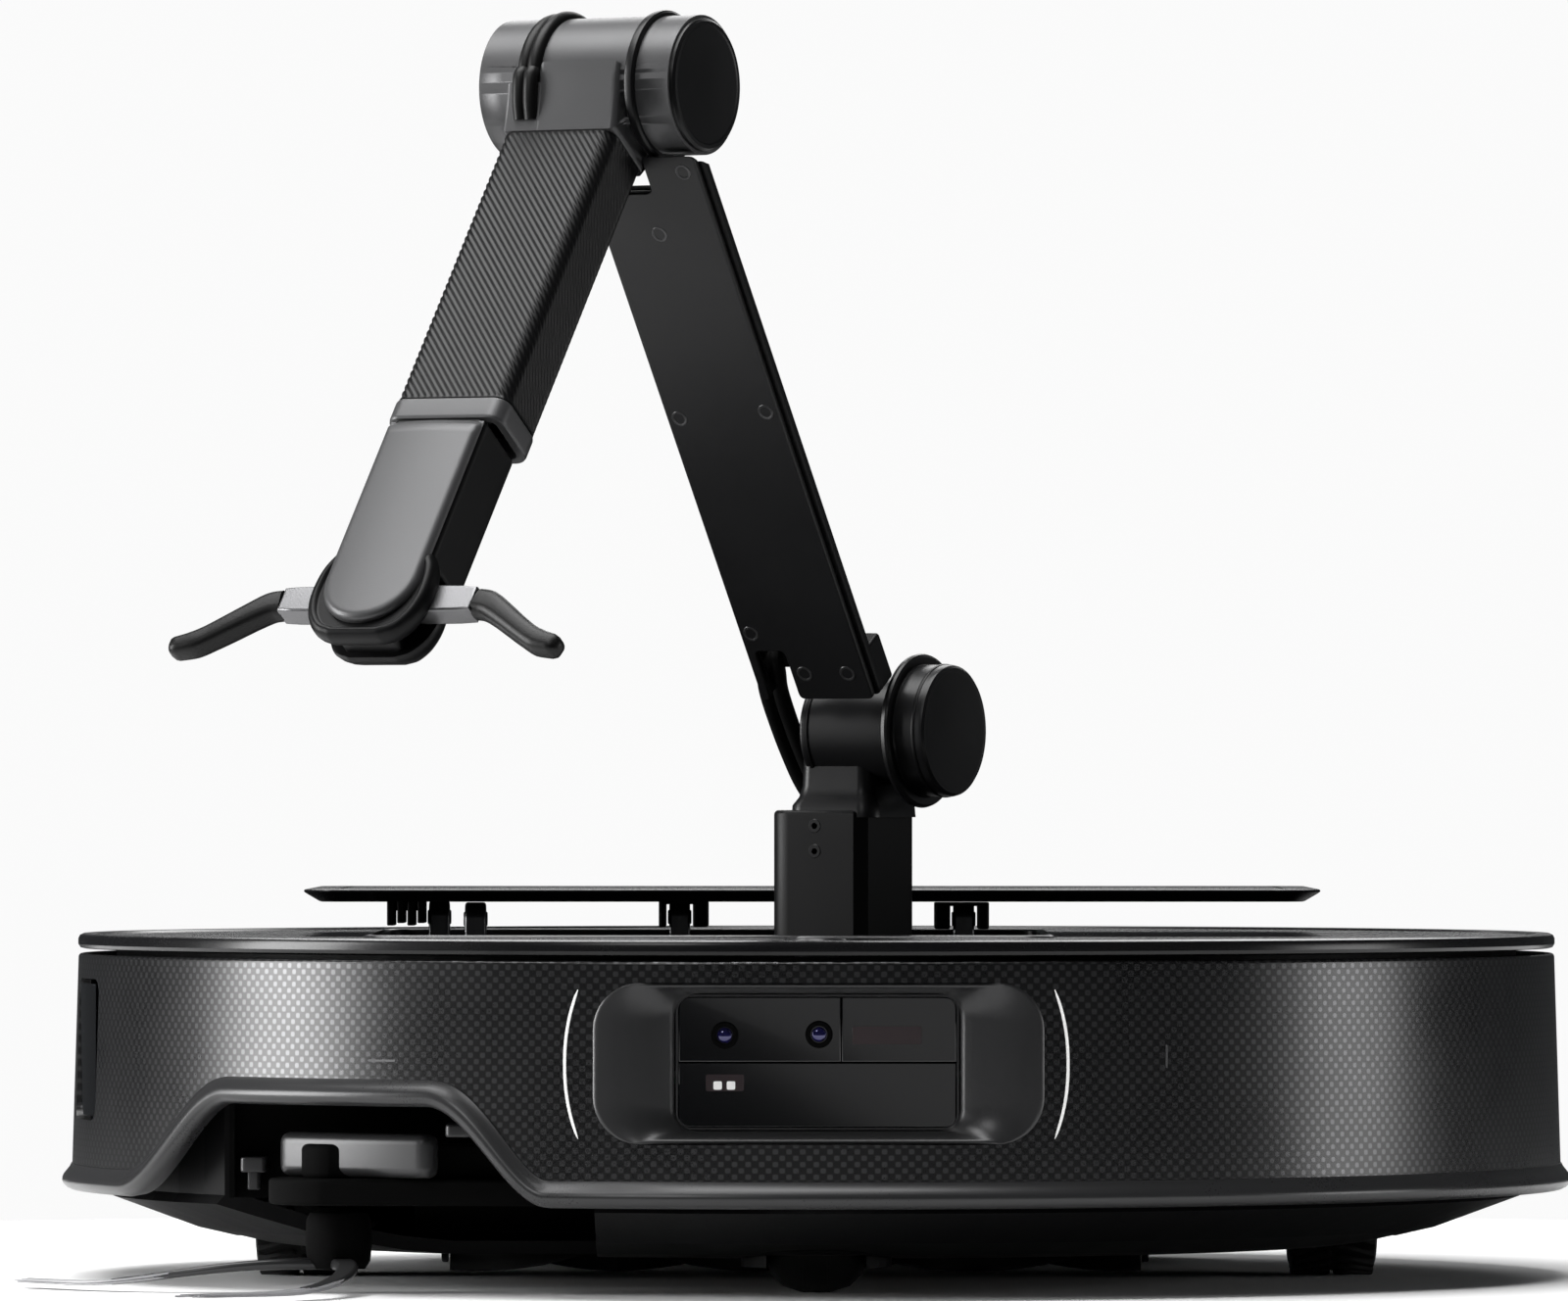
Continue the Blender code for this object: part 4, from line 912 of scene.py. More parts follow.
def elbow_point(ahead, above, u):
    """A point of the elbow cable, from its distances ahead of and above the elbow axis."""
    lean = math.radians(FOREARM_LEAN)
    along = ahead * math.sin(lean) + above * math.cos(lean)
    face = -ahead * math.cos(lean) + above * math.sin(lean)
    return Vector((u, face, along))


def make_elbow_cable():
    """Two strands side by side that wind round the spool and dive into the forearm."""
    strands = []
    for u, lift in ((-45.4, 0.0), (-48.2, -0.5)):
        points = [elbow_point(ahead, above, u) for ahead, above in arc((0, 0), 16.0 + lift, 210, 12, 22)]
        points += [Vector((u + 0.2, 15.2, 8.6)), Vector((u + 0.4, 12.6, 13.4)), Vector((u + 0.6, 9.6, 16.8))]
        strands.append(tube(curve_through(points, 3), 1.75, 18))
    make("elbow_loop", together(strands), "forearm", "rubber", FOREARM, hides=["elbow_cable"], sharp=60)


def sleeve_ring(u_range, y_range, radius, level, samples, rib=None):
    """A ring round the sleeve; rib gives how far a point stands out, from its way round and its level."""
    width, depth = u_range[1] - u_range[0], y_range[1] - y_range[0]
    centre = ((u_range[0] + u_range[1]) / 2, (y_range[0] + y_range[1]) / 2)
    straight = (width - 2 * radius, depth - 2 * radius)
    quarter = math.pi * radius / 2
    total = 2 * (straight[0] + straight[1]) + 4 * quarter
    ring = []
    for i in range(samples):
        way = total * i / samples
        left = way
        x, y, nx, ny = 0.0, 0.0, 0.0, 0.0
        sides = ((1, 0, straight[0]), (0, 1, straight[1]), (-1, 0, straight[0]), (0, -1, straight[1]))
        corner_x, corner_y = -straight[0] / 2, -depth / 2
        for step_x, step_y, length in sides:
            if left <= length:
                x, y = corner_x + step_x * left, corner_y + step_y * left
                nx, ny = step_y, -step_x
                break
            left -= length
            corner_x, corner_y = corner_x + step_x * length, corner_y + step_y * length
            if left <= quarter:
                turn = left / radius
                pivot = (corner_x - step_y * radius, corner_y + step_x * radius)
                nx = step_y * math.cos(turn) + step_x * math.sin(turn)
                ny = -step_x * math.cos(turn) + step_y * math.sin(turn)
                x, y = pivot[0] + nx * radius, pivot[1] + ny * radius
                break
            left -= quarter
            corner_x += (step_x - step_y) * radius
            corner_y += (step_y + step_x) * radius
        out = rib(way, level) if rib else 0.0
        ring.append((centre[0] + x + nx * out, centre[1] + y + ny * out, level))
    return ring


def make_forearm():
    """The ribbed sleeve with its grey cap, the grey band at its end and the motor inside."""
    low, high = SLEEVE_L
    samples = 420

    def rib(way, level):
        fade = smooth_step(level, low, low + 1.0) * (1 - smooth_step(level, high - 0.8, high))
        wave = math.cos(2 * math.pi * (way + RIB_SLANT * level) / RIB_PITCH)
        return 0.17 * fade * (wave - 1.0) + 0.02

    levels = [low + (high - low) * i / 260 for i in range(261)]
    outer = [sleeve_ring(SLEEVE_U, SLEEVE_Y, 3.4, level, samples, rib) for level in levels]
    inner_u = (SLEEVE_U[0] + 1.8, SLEEVE_U[1] - 1.8)
    inner_y = (SLEEVE_Y[0] + 1.8, SLEEVE_Y[1] - 1.8)
    inner = [sleeve_ring(inner_u, inner_y, 1.6, level, samples) for level in (high, low)]
    make("ribbed_sleeve", loft(outer + inner, loop=True), "forearm", "sleeve", FOREARM,
         hides=["forearm_sleeve"], sharp=50)

    grown = [[(SLEEVE_U[0] - g, SLEEVE_U[1] + g), (SLEEVE_Y[0] - g, SLEEVE_Y[1] + g)] for g in (0.0, 0.3)]
    rings = []
    for level, share in ((97.3, 0.0), (97.5, 0.7), (97.9, 1.0), (102.2, 1.0), (102.8, 0.6), (103.0, 0.1)):
        u_range = [a + (b - a) * share for a, b in zip(grown[0][0], grown[1][0])]
        y_range = [a + (b - a) * share for a, b in zip(grown[0][1], grown[1][1])]
        rings.append(sleeve_ring(u_range, y_range, 3.5, level, 160))
    rings += [sleeve_ring(inner_u, inner_y, 1.6, level, 160) for level in (103.0, 97.3)]
    make("grey_band", loft(rings, loop=True), "forearm", "grey_cover", FOREARM, hides=["forearm_band"])

    can = turned([(0, 55), (5.6, 55), (6.2, 55.6), (6.2, 62), (5.9, 62.3), (5.9, 63.0), (6.2, 63.3),
                  (6.2, 99.4), (5.6, 100), (0, 100)], 48)
    make("motor_can", can, "forearm", "silver_metal", at(WRIST_U, 0.4, 0, FOREARM), hides=["wrist_motor"])
    make_forearm_cap()


def elbow_saddle(radius):
    """The hollow that a piece of the forearm needs to sit on the elbow's barrel."""
    saddle = drum(radius, -60, -10, 0.1, steps=128)
    saddle.transform(across(WORLD))
    return saddle


def make_forearm_cap():
    """The grey cap that wraps from the sleeve up over the elbow barrel, and the dark fillet under it."""
    rim = [(SLEEVE_Y[1] + 0.3, 19.8), (SLEEVE_Y[1] + 1.6, 16.6), (12.6, 12.2), (14.9, 8.2), (16.2, 5.4)]
    outer = [(p.x, p.y) for p in curve_through([(y, z, 0) for y, z in rim], 5)]
    back = SLEEVE_Y[0] + 0.3
    step_u, step_l = -43.9, 9.6
    wide = slab(outer + [(8.0, 5.4), (0.0, 6.0), (back, 10.0), (back, 19.8)], step_u, SLEEVE_U[1] + 0.1, 1.6,
                4)
    low = [point for point in outer if point[1] > step_l]
    narrow = slab(low + [(low[-1][0] - 4.0, step_l), (back, step_l), (back, 19.8)], SLEEVE_U[0] + 0.1,
                  step_u + 2.0, 1.2, 4)
    for name, shape, hides in (("grey_cap", wide, ["forearm_cap"]), ("grey_cap_side", narrow, [])):
        shape.transform(SIDE)
        make(name, boolean(shape, [elbow_saddle(15.95)]), "forearm", "grey_cover", FOREARM, hides=hides,
             bevel=0.35, sharp=30)
    outline = [(-15.9, 0.0), (-15.4, 5.0), (-12.8, 10.6), (-9.6, 15.2), (-8.0, 19.9), (6.0, 19.9),
               (6.0, 10.0), (0.0, 0.0)]
    fillet = slab(outline, SLEEVE_U[0] + 0.8, SLEEVE_U[1] - 0.3, 0.8)
    fillet.transform(SIDE)
    make("elbow_fillet", boolean(fillet, [elbow_saddle(15.9)]), "forearm", "arm_metal", FOREARM)


# ---------------------------------------------------------------- wrist and fingers

def make_wrist():
    """The rolling wrist: dark body, crowned grey cover and the round rim that carries the fingers."""
    half = 12.4
    body = block((WRIST_U - half, -7.7, 103.5), (WRIST_U + half, 9.2, 143.2), 2.4, 0.8)
    make("wrist_shell", body, "wrist", "arm_metal", FOREARM, hides=["wrist_body"])

    half, start, middle, count = 12.2, 104.2, 149.0, 32
    levels = [start + (middle - start) * i / 20 for i in range(20)]
    levels += [middle + half * math.sin(math.radians(a)) for a in range(0, 90, 4)]
    rings = []
    for level in levels:
        reach = half if level <= middle else math.sqrt(half * half - (level - middle) ** 2)
        top, flat = [], []
        for i in range(count + 1):
            x = -reach * math.cos(math.pi * i / count)
            edge = half - (abs(x) if level <= middle else math.hypot(x, level - middle))
            edge = max(min(edge, level - start, 1.7), 0.0) / 1.7
            lift = 1.75 * math.sqrt(1 - (1 - edge) ** 2) - 0.9 * (x / half) ** 2
            top.append((WRIST_U + x, level, 9.6 + lift))
            flat.append((WRIST_U + x, level, 9.0))
        rings.append(top + flat[::-1])
    make("wrist_lid", loft(rings), "wrist", "grey_cover", FOREARM @ FACE, hides=["wrist_cover"], sharp=60)
    make_palm()


def palm_outline(grow=0.0):
    """The rim's outline: it bulges where the fingers come out and ends in a flat round nose."""
    side = [(12.6, 141.6), (14.4, 145.2), (15.2, 149.5), (15.1, 154.5), (13.6, 159.4), (10.4, 163.2),
            (6.0, 164.8)]
    right = curve_through([(WRIST_U + x, z, 0) for x, z in side], 4)
    left = curve_through([(WRIST_U - x, z, 0) for x, z in reversed(side)], 4)
    return inset([(p.x, p.y) for p in right + left], -grow)


def make_palm():
    """The dark rim round the cover, a chamfered nose, and the core between the fingers."""
    outline = palm_outline()
    rings = []
    for inward, lift in ((3.2, 4.0), (1.2, 4.2), (0.35, 5.2), (0.0, 6.6), (0.0, 8.0), (0.3, 9.0), (0.9, 9.6),
                         (1.5, 9.8), (2.0, 9.7), (2.4, 9.2), (2.8, 8.8)):
        rings.append([(p.x, p.y, lift) for p in inset(outline, inward)])
    rim = loft(rings)
    make("palm_rim", rim, "wrist", "arm_metal", FOREARM @ FACE, hides=["palm"], sharp=50)
    core = block((WRIST_U - 7.6, -4.6, 143.5), (WRIST_U + 7.6, 4.4, 162.0), 2.0, 1.2)
    make("palm_core", core, "wrist", "arm_metal", FOREARM)
    bucket = [[(p.x, p.y, lift) for p in inset(outline, inward)]
              for inward, lift in ((1.3, -0.4), (1.0, -1.4), (1.6, -3.4), (3.4, -6.0), (5.0, -7.0))]
    make("palm_back", loft(bucket), "wrist", "arm_metal", FOREARM @ FACE, sharp=50)


def make_fingers():
    """Silver links that swing out of the palm, and S-bent rubber tips."""
    for side, sign in (("left", -1), ("right", 1)):
        place = FOREARM @ at(WRIST_U + sign * FINGER_PIVOT[0], FINGER_Y, FINGER_PIVOT[1]) @ FRONT
        outline = arc((0, 0), 3.6, 90, 270, 14) + [(9.4, -3.5), (13.6, -3.1), (13.6, 3.2), (9.4, 3.5)]
        link = slab([(sign * x, z) for x, z in outline], -2.8, 2.8, 0.6)
        pins = [(drum(1.5, -3.1, 3.1, 0.3, steps=28), WORLD)]
        make(f"finger_link_{side}_arm", merge((link, WORLD), *pins), f"finger_{side}", "silver_metal", place,
             hides=[f"finger_link_{side}"])
        line = curve_through([(13.9, 0.0, 0), (17.0, 0.6, 0), (21.0, 3.0, 0), (26.0, 6.4, 0), (30.0, 9.0, 0),
                              (33.4, 10.8, 0), (37.6, 11.9, 0)], 6)
        sizes = [(3.3, 2.8), (3.3, 2.9), (3.0, 3.0), (2.7, 3.0), (2.6, 2.9), (2.7, 2.9), (2.3, 2.7)]
        rings = []
        for index, point in enumerate(line):
            share = index / (len(line) - 1) * (len(sizes) - 1)
            first = min(int(share), len(sizes) - 2)
            part = share - first
            tall = sizes[first][0] * (1 - part) + sizes[first + 1][0] * part
            deep = sizes[first][1] * (1 - part) + sizes[first + 1][1] * part
            near = line[max(index - 1, 0)]
            far = line[min(index + 1, len(line) - 1)]
            heading = (far - near).normalized()
            up = Vector((-heading.y, heading.x, 0))
            rings.append([point + up * p.x + Vector((0, 0, p.y))
                          for p in (Vector(q) for q in rounded(2 * tall, 2 * deep, min(tall, deep) * 0.7,
                                                               4))])
        for shrink, forward in ((0.88, 0.9), (0.6, 1.6), (0.25, 1.95)):
            centre = line[-1] + heading * forward
            rings.append([centre + (p - line[-1]) * shrink for p in rings[len(line) - 1]])
        tip = loft([[(sign * p.x, p.y, p.z) for p in ring] for ring in rings])
        make(f"finger_tip_{side}_pad", tip, f"finger_{side}", "rubber", place,
             hides=[f"finger_tip_{side}"], sharp=60)


def make_shoulder_cable():
    """Two strands that loop from the column to the slab."""
    route = [(-0.4, 5.0, -18.6), (-3.4, 3.4, -16.8), (-5.4, 0.0, -12.0), (-6.4, -5.0, -4.5),
             (-6.4, -10.6, 3.0),
             (-5.0, -17.0, 9.4), (-2.2, -22.4, 13.6), (0.9, -25.6, 17.2), (2.6, -26.4, 21.4),
             (2.8, -25.4, 25.4)]
    strands = []
    for shift in (0.0, 3.7):
        points = [(-36.0 + u + shift * min(1.0, 0.55 - u / 6), y, z) for u, y, z in route]
        strands.append(tube(curve_through(points, 6), 1.9, 18))
    item = make("shoulder_loop", together(strands), None, "rubber", SHOULDER, hides=["shoulder_cable"],
                sharp=60)
    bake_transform(item)


# ---------------------------------------------------------------- running gear

def make_wheels():
    """Drive wheels with chevron treads, ribbed hubs and bright axle caps."""
    low, high = node_box("drive_wheel_right")
    centre_z = (low.z + high.z) / 2
    radius = (high.z - low.z) / 2
    width = high.x - low.x
    for side, sign in (("left", -1), ("right", 1)):
        where = at(sign * (low.x + high.x) / 2, 0, centre_z) @ TURN_X
        half = width / 2
        tyre = [(radius - 5.0, -half + 0.4), (radius - 3.0, -half), (radius - 1.8, -half + 0.5),
                (radius - 1.2, -half + 2),
                (radius - 1.0, 0), (radius - 1.2, half - 2), (radius - 1.8, half - 0.5), (radius - 3.0, half),
                (radius - 5.0, half - 0.4)]
        treads = []
        count = 44
        for i in range(count):
            for lean, middle in ((28, -half / 2), (-28, half / 2)):
                bar = block((-0.9, -half / 2 + 0.2, -0.9), (0.9, half / 2 - 0.2, 0.95), 0.5, 0.3)
                spin = Matrix.Rotation(math.tau * (i + (0.5 if lean > 0 else 0)) / count, 4, "Z")
                seat = Matrix.Translation((radius - 1.0, 0, middle)) @ turn_about("Y", 90)
                seat = seat @ turn_about("Z", 90 + lean)
                treads.append((bar, spin @ seat))
        make(f"tyre_{side}", merge((turned(tyre, 96), WORLD), *treads), f"wheel_{side}", "tyre", where,
             hides=[f"drive_wheel_{side}"])
        hub = turned([(4.5, -half + 1.6), (24.0, -half + 1.6), (26.0, -half + 0.8),
                      (radius - 4.9, -half + 0.8),
                      (radius - 4.9, half - 0.8), (26.0, half - 0.8), (24.0, half - 1.6), (4.5, half - 1.6)],
                     96)
        spokes = []
        for i in range(7):
            spoke = block((7.0, -1.1, -half + 0.9), (25.0, 1.1, half - 0.9), 0.8, 0.4)
            spokes.append((spoke, Matrix.Rotation(math.tau * i / 7, 4, "Z")))
        make(f"hub_{side}", merge((hub, WORLD), *spokes), f"wheel_{side}", "tyre", where,
             finish=LOOKS["pan_plastic"])
        cap = drum(3.8, -half, half, 0.5, steps=40)
        make(f"axle_cap_{side}", cap, f"swing_{side}", "silver_metal", where)


def make_caster():
    """The caster's cup, its fork with a collar and the banded wheel."""
    low, high = node_box("caster_wheel")
    middle = (low + high) / 2
    wheel = turned([(0, -11.0), (9.0, -11.0), (10.6, -10.6), (13.6, -7.6), (14.9, -3.6), (15.0, 0),
                    (14.9, 3.6), (13.6, 7.6), (10.6, 10.6), (9.0, 11.0), (0, 11.0)], 72)
    bands = [turned([(14.8, z - 0.5), (15.0, z - 0.3), (15.0, z + 0.3), (14.8, z + 0.5), (14.2, z)], 72)
             for z in (-2.8, 0.0, 2.8)]
    pin = drum(1.9, -13.9, 13.9, 0.4, steps=28)
    make("caster_roller", together([wheel, *bands, pin]), "caster_roll", "rubber", at(*middle) @ TURN_X,
         hides=["caster_wheel"])
    low, high = node_box("caster_housing")
    centre = (low + high) / 2
    lip = turned([(17.9, 5.1), (18.2, 4.5), (19.0, 4.1), (21.6, 3.6), (22.2, 2.0), (21.2, 1.2), (18.6, 1.0),
                  (17.9, 1.6)], 96)
    make("caster_collar", lip, "chassis", "pan_plastic", at(centre.x, centre.y, 0))


def make_rollers():
    """Main rollers: a core with end rims and helical rubber fins."""
    for side in ("left", "right"):
        low, high = node_box(f"roller_{side}")
        middle = (low + high) / 2
        length = high.x - low.x
        radius = (high.z - low.z) / 2
        hand = 1 if side == "left" else -1
        core = drum(radius - 4.2, -length / 2 + 0.4, length / 2 - 0.4, 0.8, steps=48)
        ends = [drum(radius - 2.2, z, z + 1.6, 0.4, steps=48) for z in (-length / 2, length / 2 - 1.6)]
        parts = [(shape, WORLD) for shape in (core, *ends)]
        for fin in range(6):
            rings = []
            for i in range(33):
                share = i / 32
                z = (share - 0.5) * (length - 3.6)
                angle = math.tau * fin / 6 + hand * math.radians(70.0) * abs(2 * share - 1)
                ring = []
                for r, half in ((radius - 4.6, 1.1), (radius - 0.6, 0.55), (radius - 0.1, 0.3)):
                    ring.append((r, half))
                points = [(r, h) for r, h in ring] + [(r, -h) for r, h in reversed(ring)]
                rings.append([(r * math.cos(angle) - h * math.sin(angle),
                               r * math.sin(angle) + h * math.cos(angle), z)
                              for r, h in points])
            parts.append((loft(rings), WORLD))
        make(f"roller_{side}_fins", merge(*parts), f"roller_{side}_body", "rubber", at(*middle) @ TURN_X,
             hides=[f"roller_{side}"])


def make_mops():
    """Round mop cloths: a hard backing disc with a field of soft loops below."""
    random.seed(7)
    for side in ("left", "right"):
        low, high = node_box(f"mop_{side}")
        middle = (low + high) / 2
        radius = (high.x - low.x) / 2
        back = turned([(0, 8.8), (4.4, 8.8), (5.0, 8.2), (5.0, 0.0), (12.0, -1.2), (radius - 3.0, -1.3),
                       (radius - 2.0, -2.0), (radius - 2.0, -2.8), (0, -2.8)], 96)
        make(f"mop_disc_{side}", back, f"mop_{side}_body", "felt", at(middle.x, middle.y, 0),
             finish=LOOKS["pan_plastic"])
        cloth_rings = []
        rows = 34
        steps = 180
        for i in range(rows):
            r = (radius - 0.1) * (i / (rows - 1))
            ring = []
            for j in range(steps):
                a = math.tau * j / steps
                swell = 0.5 + 0.5 * math.cos(r * 2.1) * math.cos(j * math.pi / 3 + i)
                drop = -3.9 - 0.85 * swell + random.uniform(-0.12, 0.12)
                if i == rows - 1:
                    drop = -3.2
                ring.append((max(r, 0.02) * math.cos(a), max(r, 0.02) * math.sin(a), max(drop, -4.95)))
            cloth_rings.append(ring)
        cloth_rings.append([((radius - 0.8) * math.cos(math.tau * j / steps),
                             (radius - 0.8) * math.sin(math.tau * j / steps), -2.5) for j in range(steps)])
        make(f"mop_cloth_{side}", loft(cloth_rings), f"mop_{side}_body", "felt", at(middle.x, middle.y, 0),
             hides=[f"mop_{side}"], sharp=80)


BRUSH_HUB = (-109.0, -118.0)
BRUSH_PIVOT = (-66.0, -126.0)
BRUSH_ANGLES = (158.0, 247.0)
BRUSH_REACH = 80.0
BRISTLES = 90
NOSE_RADIUS = 163.5


def blade_line(count=28, shift=0.0, reach=1.0):
    """The curved line of a sweeping arm, from the hub out and down to the floor."""
    points = []
    for i in range(count + 1):
        share = i / count * reach
        drop = -1.4 - 4.8 * smooth_step(share, 0.1, 0.75)
        points.append(Vector((BRUSH_REACH * share, 16.0 * math.sin(math.pi * share) + shift * share ** 1.4,
                              drop)))
    return points


def make_brush_nose():
    """The rounded cover on the front of the brush carrier, bent to follow the wall."""
    steps = 40
    first, last = math.radians(-47.8), math.radians(-31.9)
    length = NOSE_RADIUS * (last - first)
    rings = []
    for i in range(steps + 1):
        edge = min(i, steps - i) / steps * length / 2.4
        tuck = 2.4 * (1 - math.sqrt(1 - (1 - min(edge, 1.0)) ** 2)) * 0.95
        phi = first + (last - first) * i / steps
        ring = rounded(6.4 - 2 * tuck, 10.0 - 2 * tuck, max(2.4 - tuck, 0.1), 5, (NOSE_RADIUS, 23.5))
        rings.append([(p.x * math.sin(phi), -p.x * math.cos(phi), p.y) for p in (Vector(q) for q in ring)])
    make("brush_nose", loft(rings), "brush_swing", "pan_plastic", finish=TUNNEL, sharp=60)


def make_side_brush():
    """The swinging carrier with its rounded motor cover, and the brush with two bristled arms."""
    span = Vector(BRUSH_PIVOT) - Vector(BRUSH_HUB)
    heading = math.degrees(math.atan2(span.y, span.x))
    outline = (arc(BRUSH_PIVOT, 11.0, heading - 90, heading + 90, 24)
               + arc(BRUSH_HUB, 16.0, heading + 90, heading + 270, 30))
    base = slab(outline, 12.2, 18.2, 0.9)
    crown = slab(inset(outline, 7.5), 18.0, 26.0, 1.5, 5)
    make("brush_carrier", together([base, crown]), "brush_swing", "pan_plastic", hides=["side_brush_arm"],
         finish=MATT)
    make_brush_nose()
    hub = turned([(0, 11.2), (4.2, 11.2), (6.6, 10.2), (7.4, 8.6), (7.6, 3.0), (7.2, -0.8), (6.0, -2.6),
                  (0, -3.0)], 72)
    make("brush_hub", hub, "brush_spin", "rubber", at(*BRUSH_HUB, 0), hides=["side_brush"], finish=MATT)
    random.seed(11)
    for index, angle in enumerate(BRUSH_ANGLES):
        where = at(*BRUSH_HUB, 0) @ turn_about("Z", angle)
        line = blade_line(reach=0.62)
        rings = []
        for i, point in enumerate(line):
            share = i / (len(line) - 1)
            half, deep = 3.3 - 1.5 * share, 1.4 - 0.7 * share
            rings.append([(point.x, point.y + p[0], point.z + p[1]) for p in rounded(2 * half, 2 * deep,
                                                                                     deep * 0.9, 4)])
        make(f"brush_arm_{index}", loft(rings), "brush_spin", "rubber", where, finish=TUNNEL)
        hairs = []
        for _ in range(BRISTLES):
            side = random.uniform(-1, 1)
            length = random.uniform(0.93, 1.0)
            points = blade_line(16, 2.6 * side, length)[6:]
            lift = random.uniform(-0.5, 0.5)
            points = [p + Vector((0, side * 1.2, lift * (1 - 0.5 * i / len(points)))) for i,
                      p in enumerate(points)]
            points = [Vector((p.x, p.y, max(p.z, FLOOR + 1.2))) for p in points]
            hairs.append(tube(points, [0.26 - 0.010 * i for i in range(len(points))], 5))
        make(f"brush_bristles_{index}", together(hairs), "brush_spin", "rubber", where, finish=BRISTLE)


def make_underside():
    """The belly cover and its screws, the rollers' guard, the charging contacts and the rear vents."""
    cover = slab(rounded(124, 22, 4.0, centre=(0, 30)), -0.55, 0.2, 0.3)
    make("belly_cover", cover, "chassis", "pan_plastic")
    heads = [(screw(2.2, 0.8), at(x, y, 0.05) @ turn_about("X", 180))
             for x, y in ((-96, 66), (96, 66), (-30, -66), (30, -66), (-56, 30), (56, 30), (0, 120))]
    make("belly_screws", merge(*heads), "chassis", "silver_metal")
    ring = rounded(176.0, 38.0, 4.0, 8, (-5.0, -22.5))
    rings = [[(p.x, p.y, z) for p in inset(ring, d)] for d, z in
             ((0, 0.2), (0.2, -0.5), (0.8, -0.9), (4.0, -0.9), (4.6, -0.4), (4.6, 0.2))]
    make("roller_guard", loft(rings, loop=True), "chassis", "pan_plastic")
    contacts = [block((x - 8, 103, -0.45), (x + 8, 110, 0.2), 1.5, 0.2) for x in (-28, 28)]
    make("charge_contacts", together(contacts), "chassis", "silver_metal")
    vents = []
    for i in range(14):
        phi = math.radians(180 + (i - 6.5) * 2.2)
        fin = block((-0.9, -0.5, -9.0), (0.9, 0.5, 9.0), 0.4, 0.3)
        spot = at(175.35 * math.sin(phi), -175.35 * math.cos(phi), 42.0) @ Matrix.Rotation(-phi, 4, "Z")
        vents.append((fin, spot))
    make("rear_vents", merge(*vents), "chassis", "body_plastic", finish=MATT)


# ---------------------------------------------------------------- studio

FLOOR_RADIUS = 0.46            # the studio's lengths are in metres
LAMPS = {
    "left": ((-1.5, -0.12, 0.30), (0.55, 0.9), 26.0),
    "right": ((1.5, -0.12, 0.10), (0.5, 0.5), 4.0),
    "top": ((-0.4, -0.1, 1.9), (1.6, 1.6), 62.0),
    "front_left": ((-1.0, -1.9, 1.5), (0.6, 0.6), 8.0),
    "rear": ((0.3, 2.2, 1.4), (1.6, 1.0), 20.0),
}
CARD_PLACE = (0.127, -4.0, 0.115)
CARD_SIZE = 0.4
CARD_POWER = 0.20
CAMERA_PLACE = (0.0, -3.3, 0.107)
CAMERA_TURN = (90.568, 0.0, 0.133)
CAMERA_LENS = 320.0


def make_floor():
    """A pale disc, which is clear from below so that views from there show the underside."""
    bpy.ops.mesh.primitive_circle_add(vertices=96, radius=FLOOR_RADIUS, fill_type="NGON",
                                      location=(0, 0, FLOOR * MM))
    floor = bpy.context.object
    floor.name = "studio_floor"
    pale = Finish("studio_floor", (0.86, 0.86, 0.86), 0.8, uneven=0.005, grain=0.0, specular=0.1)
    clear = pale.tree.nodes.new("ShaderNodeBsdfTransparent")
    side = pale.tree.nodes.new("ShaderNodeNewGeometry")
    either = pale.tree.nodes.new("ShaderNodeMixShader")
    pale.tree.links.new(side.outputs["Backfacing"], either.inputs[0])
    pale.tree.links.new(pale.shader.outputs[0], either.inputs[1])
    pale.tree.links.new(clear.outputs[0], either.inputs[2])
    pale.tree.links.new(either.outputs[0], pale.tree.nodes["Material Output"].inputs["Surface"])
    floor.data.materials.append(pale.material)


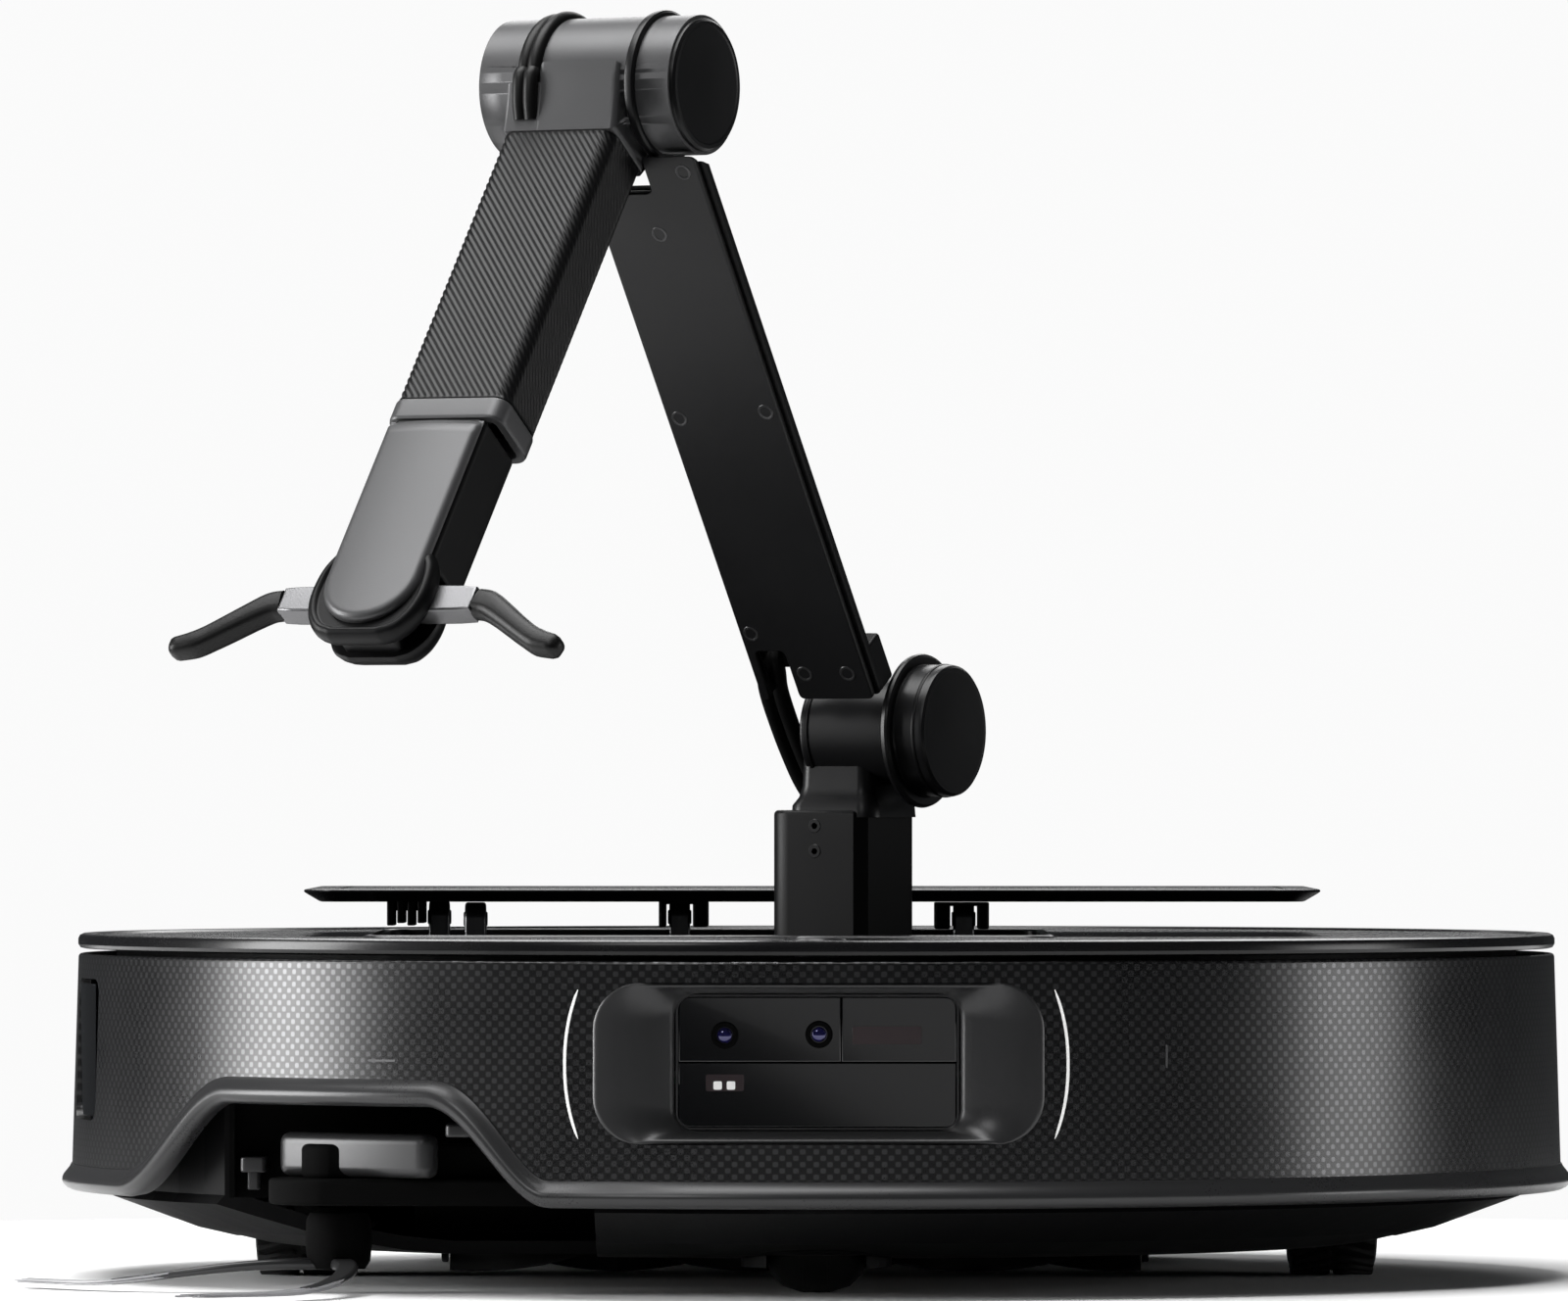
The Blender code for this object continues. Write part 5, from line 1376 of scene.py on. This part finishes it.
def make_world():
    """White where the camera sees past the floor, and dim for everything else."""
    world = bpy.data.worlds.new("studio")
    bpy.context.scene.world = world
    world.use_nodes = True
    tree = world.node_tree
    dim = tree.nodes["Background"]
    dim.inputs["Color"].default_value = (0.9, 0.95, 1.0, 1.0)
    dim.inputs["Strength"].default_value = 0.04
    bright = tree.nodes.new("ShaderNodeBackground")
    bright.inputs["Strength"].default_value = 1.2
    seen = tree.nodes.new("ShaderNodeLightPath")
    mix = tree.nodes.new("ShaderNodeMixShader")
    tree.links.new(seen.outputs["Is Camera Ray"], mix.inputs[0])
    tree.links.new(dim.outputs[0], mix.inputs[1])
    tree.links.new(bright.outputs[0], mix.inputs[2])
    tree.links.new(mix.outputs[0], tree.nodes["World Output"].inputs["Surface"])


def make_lamps():
    """Soft area lamps that face the object, and a faint square card that glints in the window."""
    aim = Vector((0, 0, 0.12))
    for name, (place, size, power) in LAMPS.items():
        light = bpy.data.lights.new("lamp_" + name, "AREA")
        light.shape = "RECTANGLE"
        light.size, light.size_y = size
        light.energy = power
        item = bpy.data.objects.new("lamp_" + name, light)
        item.location = place
        item.rotation_euler = (aim - Vector(place)).to_track_quat("-Z", "Y").to_euler()
        item.visible_camera = False
        bpy.context.scene.collection.objects.link(item)

    card = bpy.data.lights.new("card", "AREA")
    card.size = CARD_SIZE
    card.energy = CARD_POWER
    item = bpy.data.objects.new("card", card)
    item.location = CARD_PLACE
    item.rotation_euler = (Matrix.Rotation(math.radians(45.0), 3, "Y")
                           @ Matrix.Rotation(math.radians(90.0), 3, "X")).to_euler()
    item.visible_camera = False
    bpy.context.scene.collection.objects.link(item)


def make_camera():
    """The photographer's place: level with the deck, far off and a little to the left of straight ahead."""
    data = bpy.data.cameras.new("camera")
    data.sensor_width = 36.0
    data.lens = CAMERA_LENS
    data.clip_end = 100.0
    camera = bpy.data.objects.new("camera", data)
    camera.location = CAMERA_PLACE
    camera.rotation_euler = [math.radians(angle) for angle in CAMERA_TURN]
    bpy.context.scene.collection.objects.link(camera)
    bpy.context.scene.camera = camera
    bpy.context.scene.view_settings.view_transform = "Standard"


dress_frame()
make_walls()
make_deck()
make_brush_bay()
make_lid()
make_turret()
make_shoulder_drum()
make_upper_arm()
make_shoulder_cable()
make_elbow()
make_elbow_cable()
make_forearm()
make_wrist()
make_fingers()
make_wheels()
make_caster()
make_rollers()
make_mops()
make_side_brush()
make_underside()
make_floor()
make_world()
make_lamps()
make_camera()
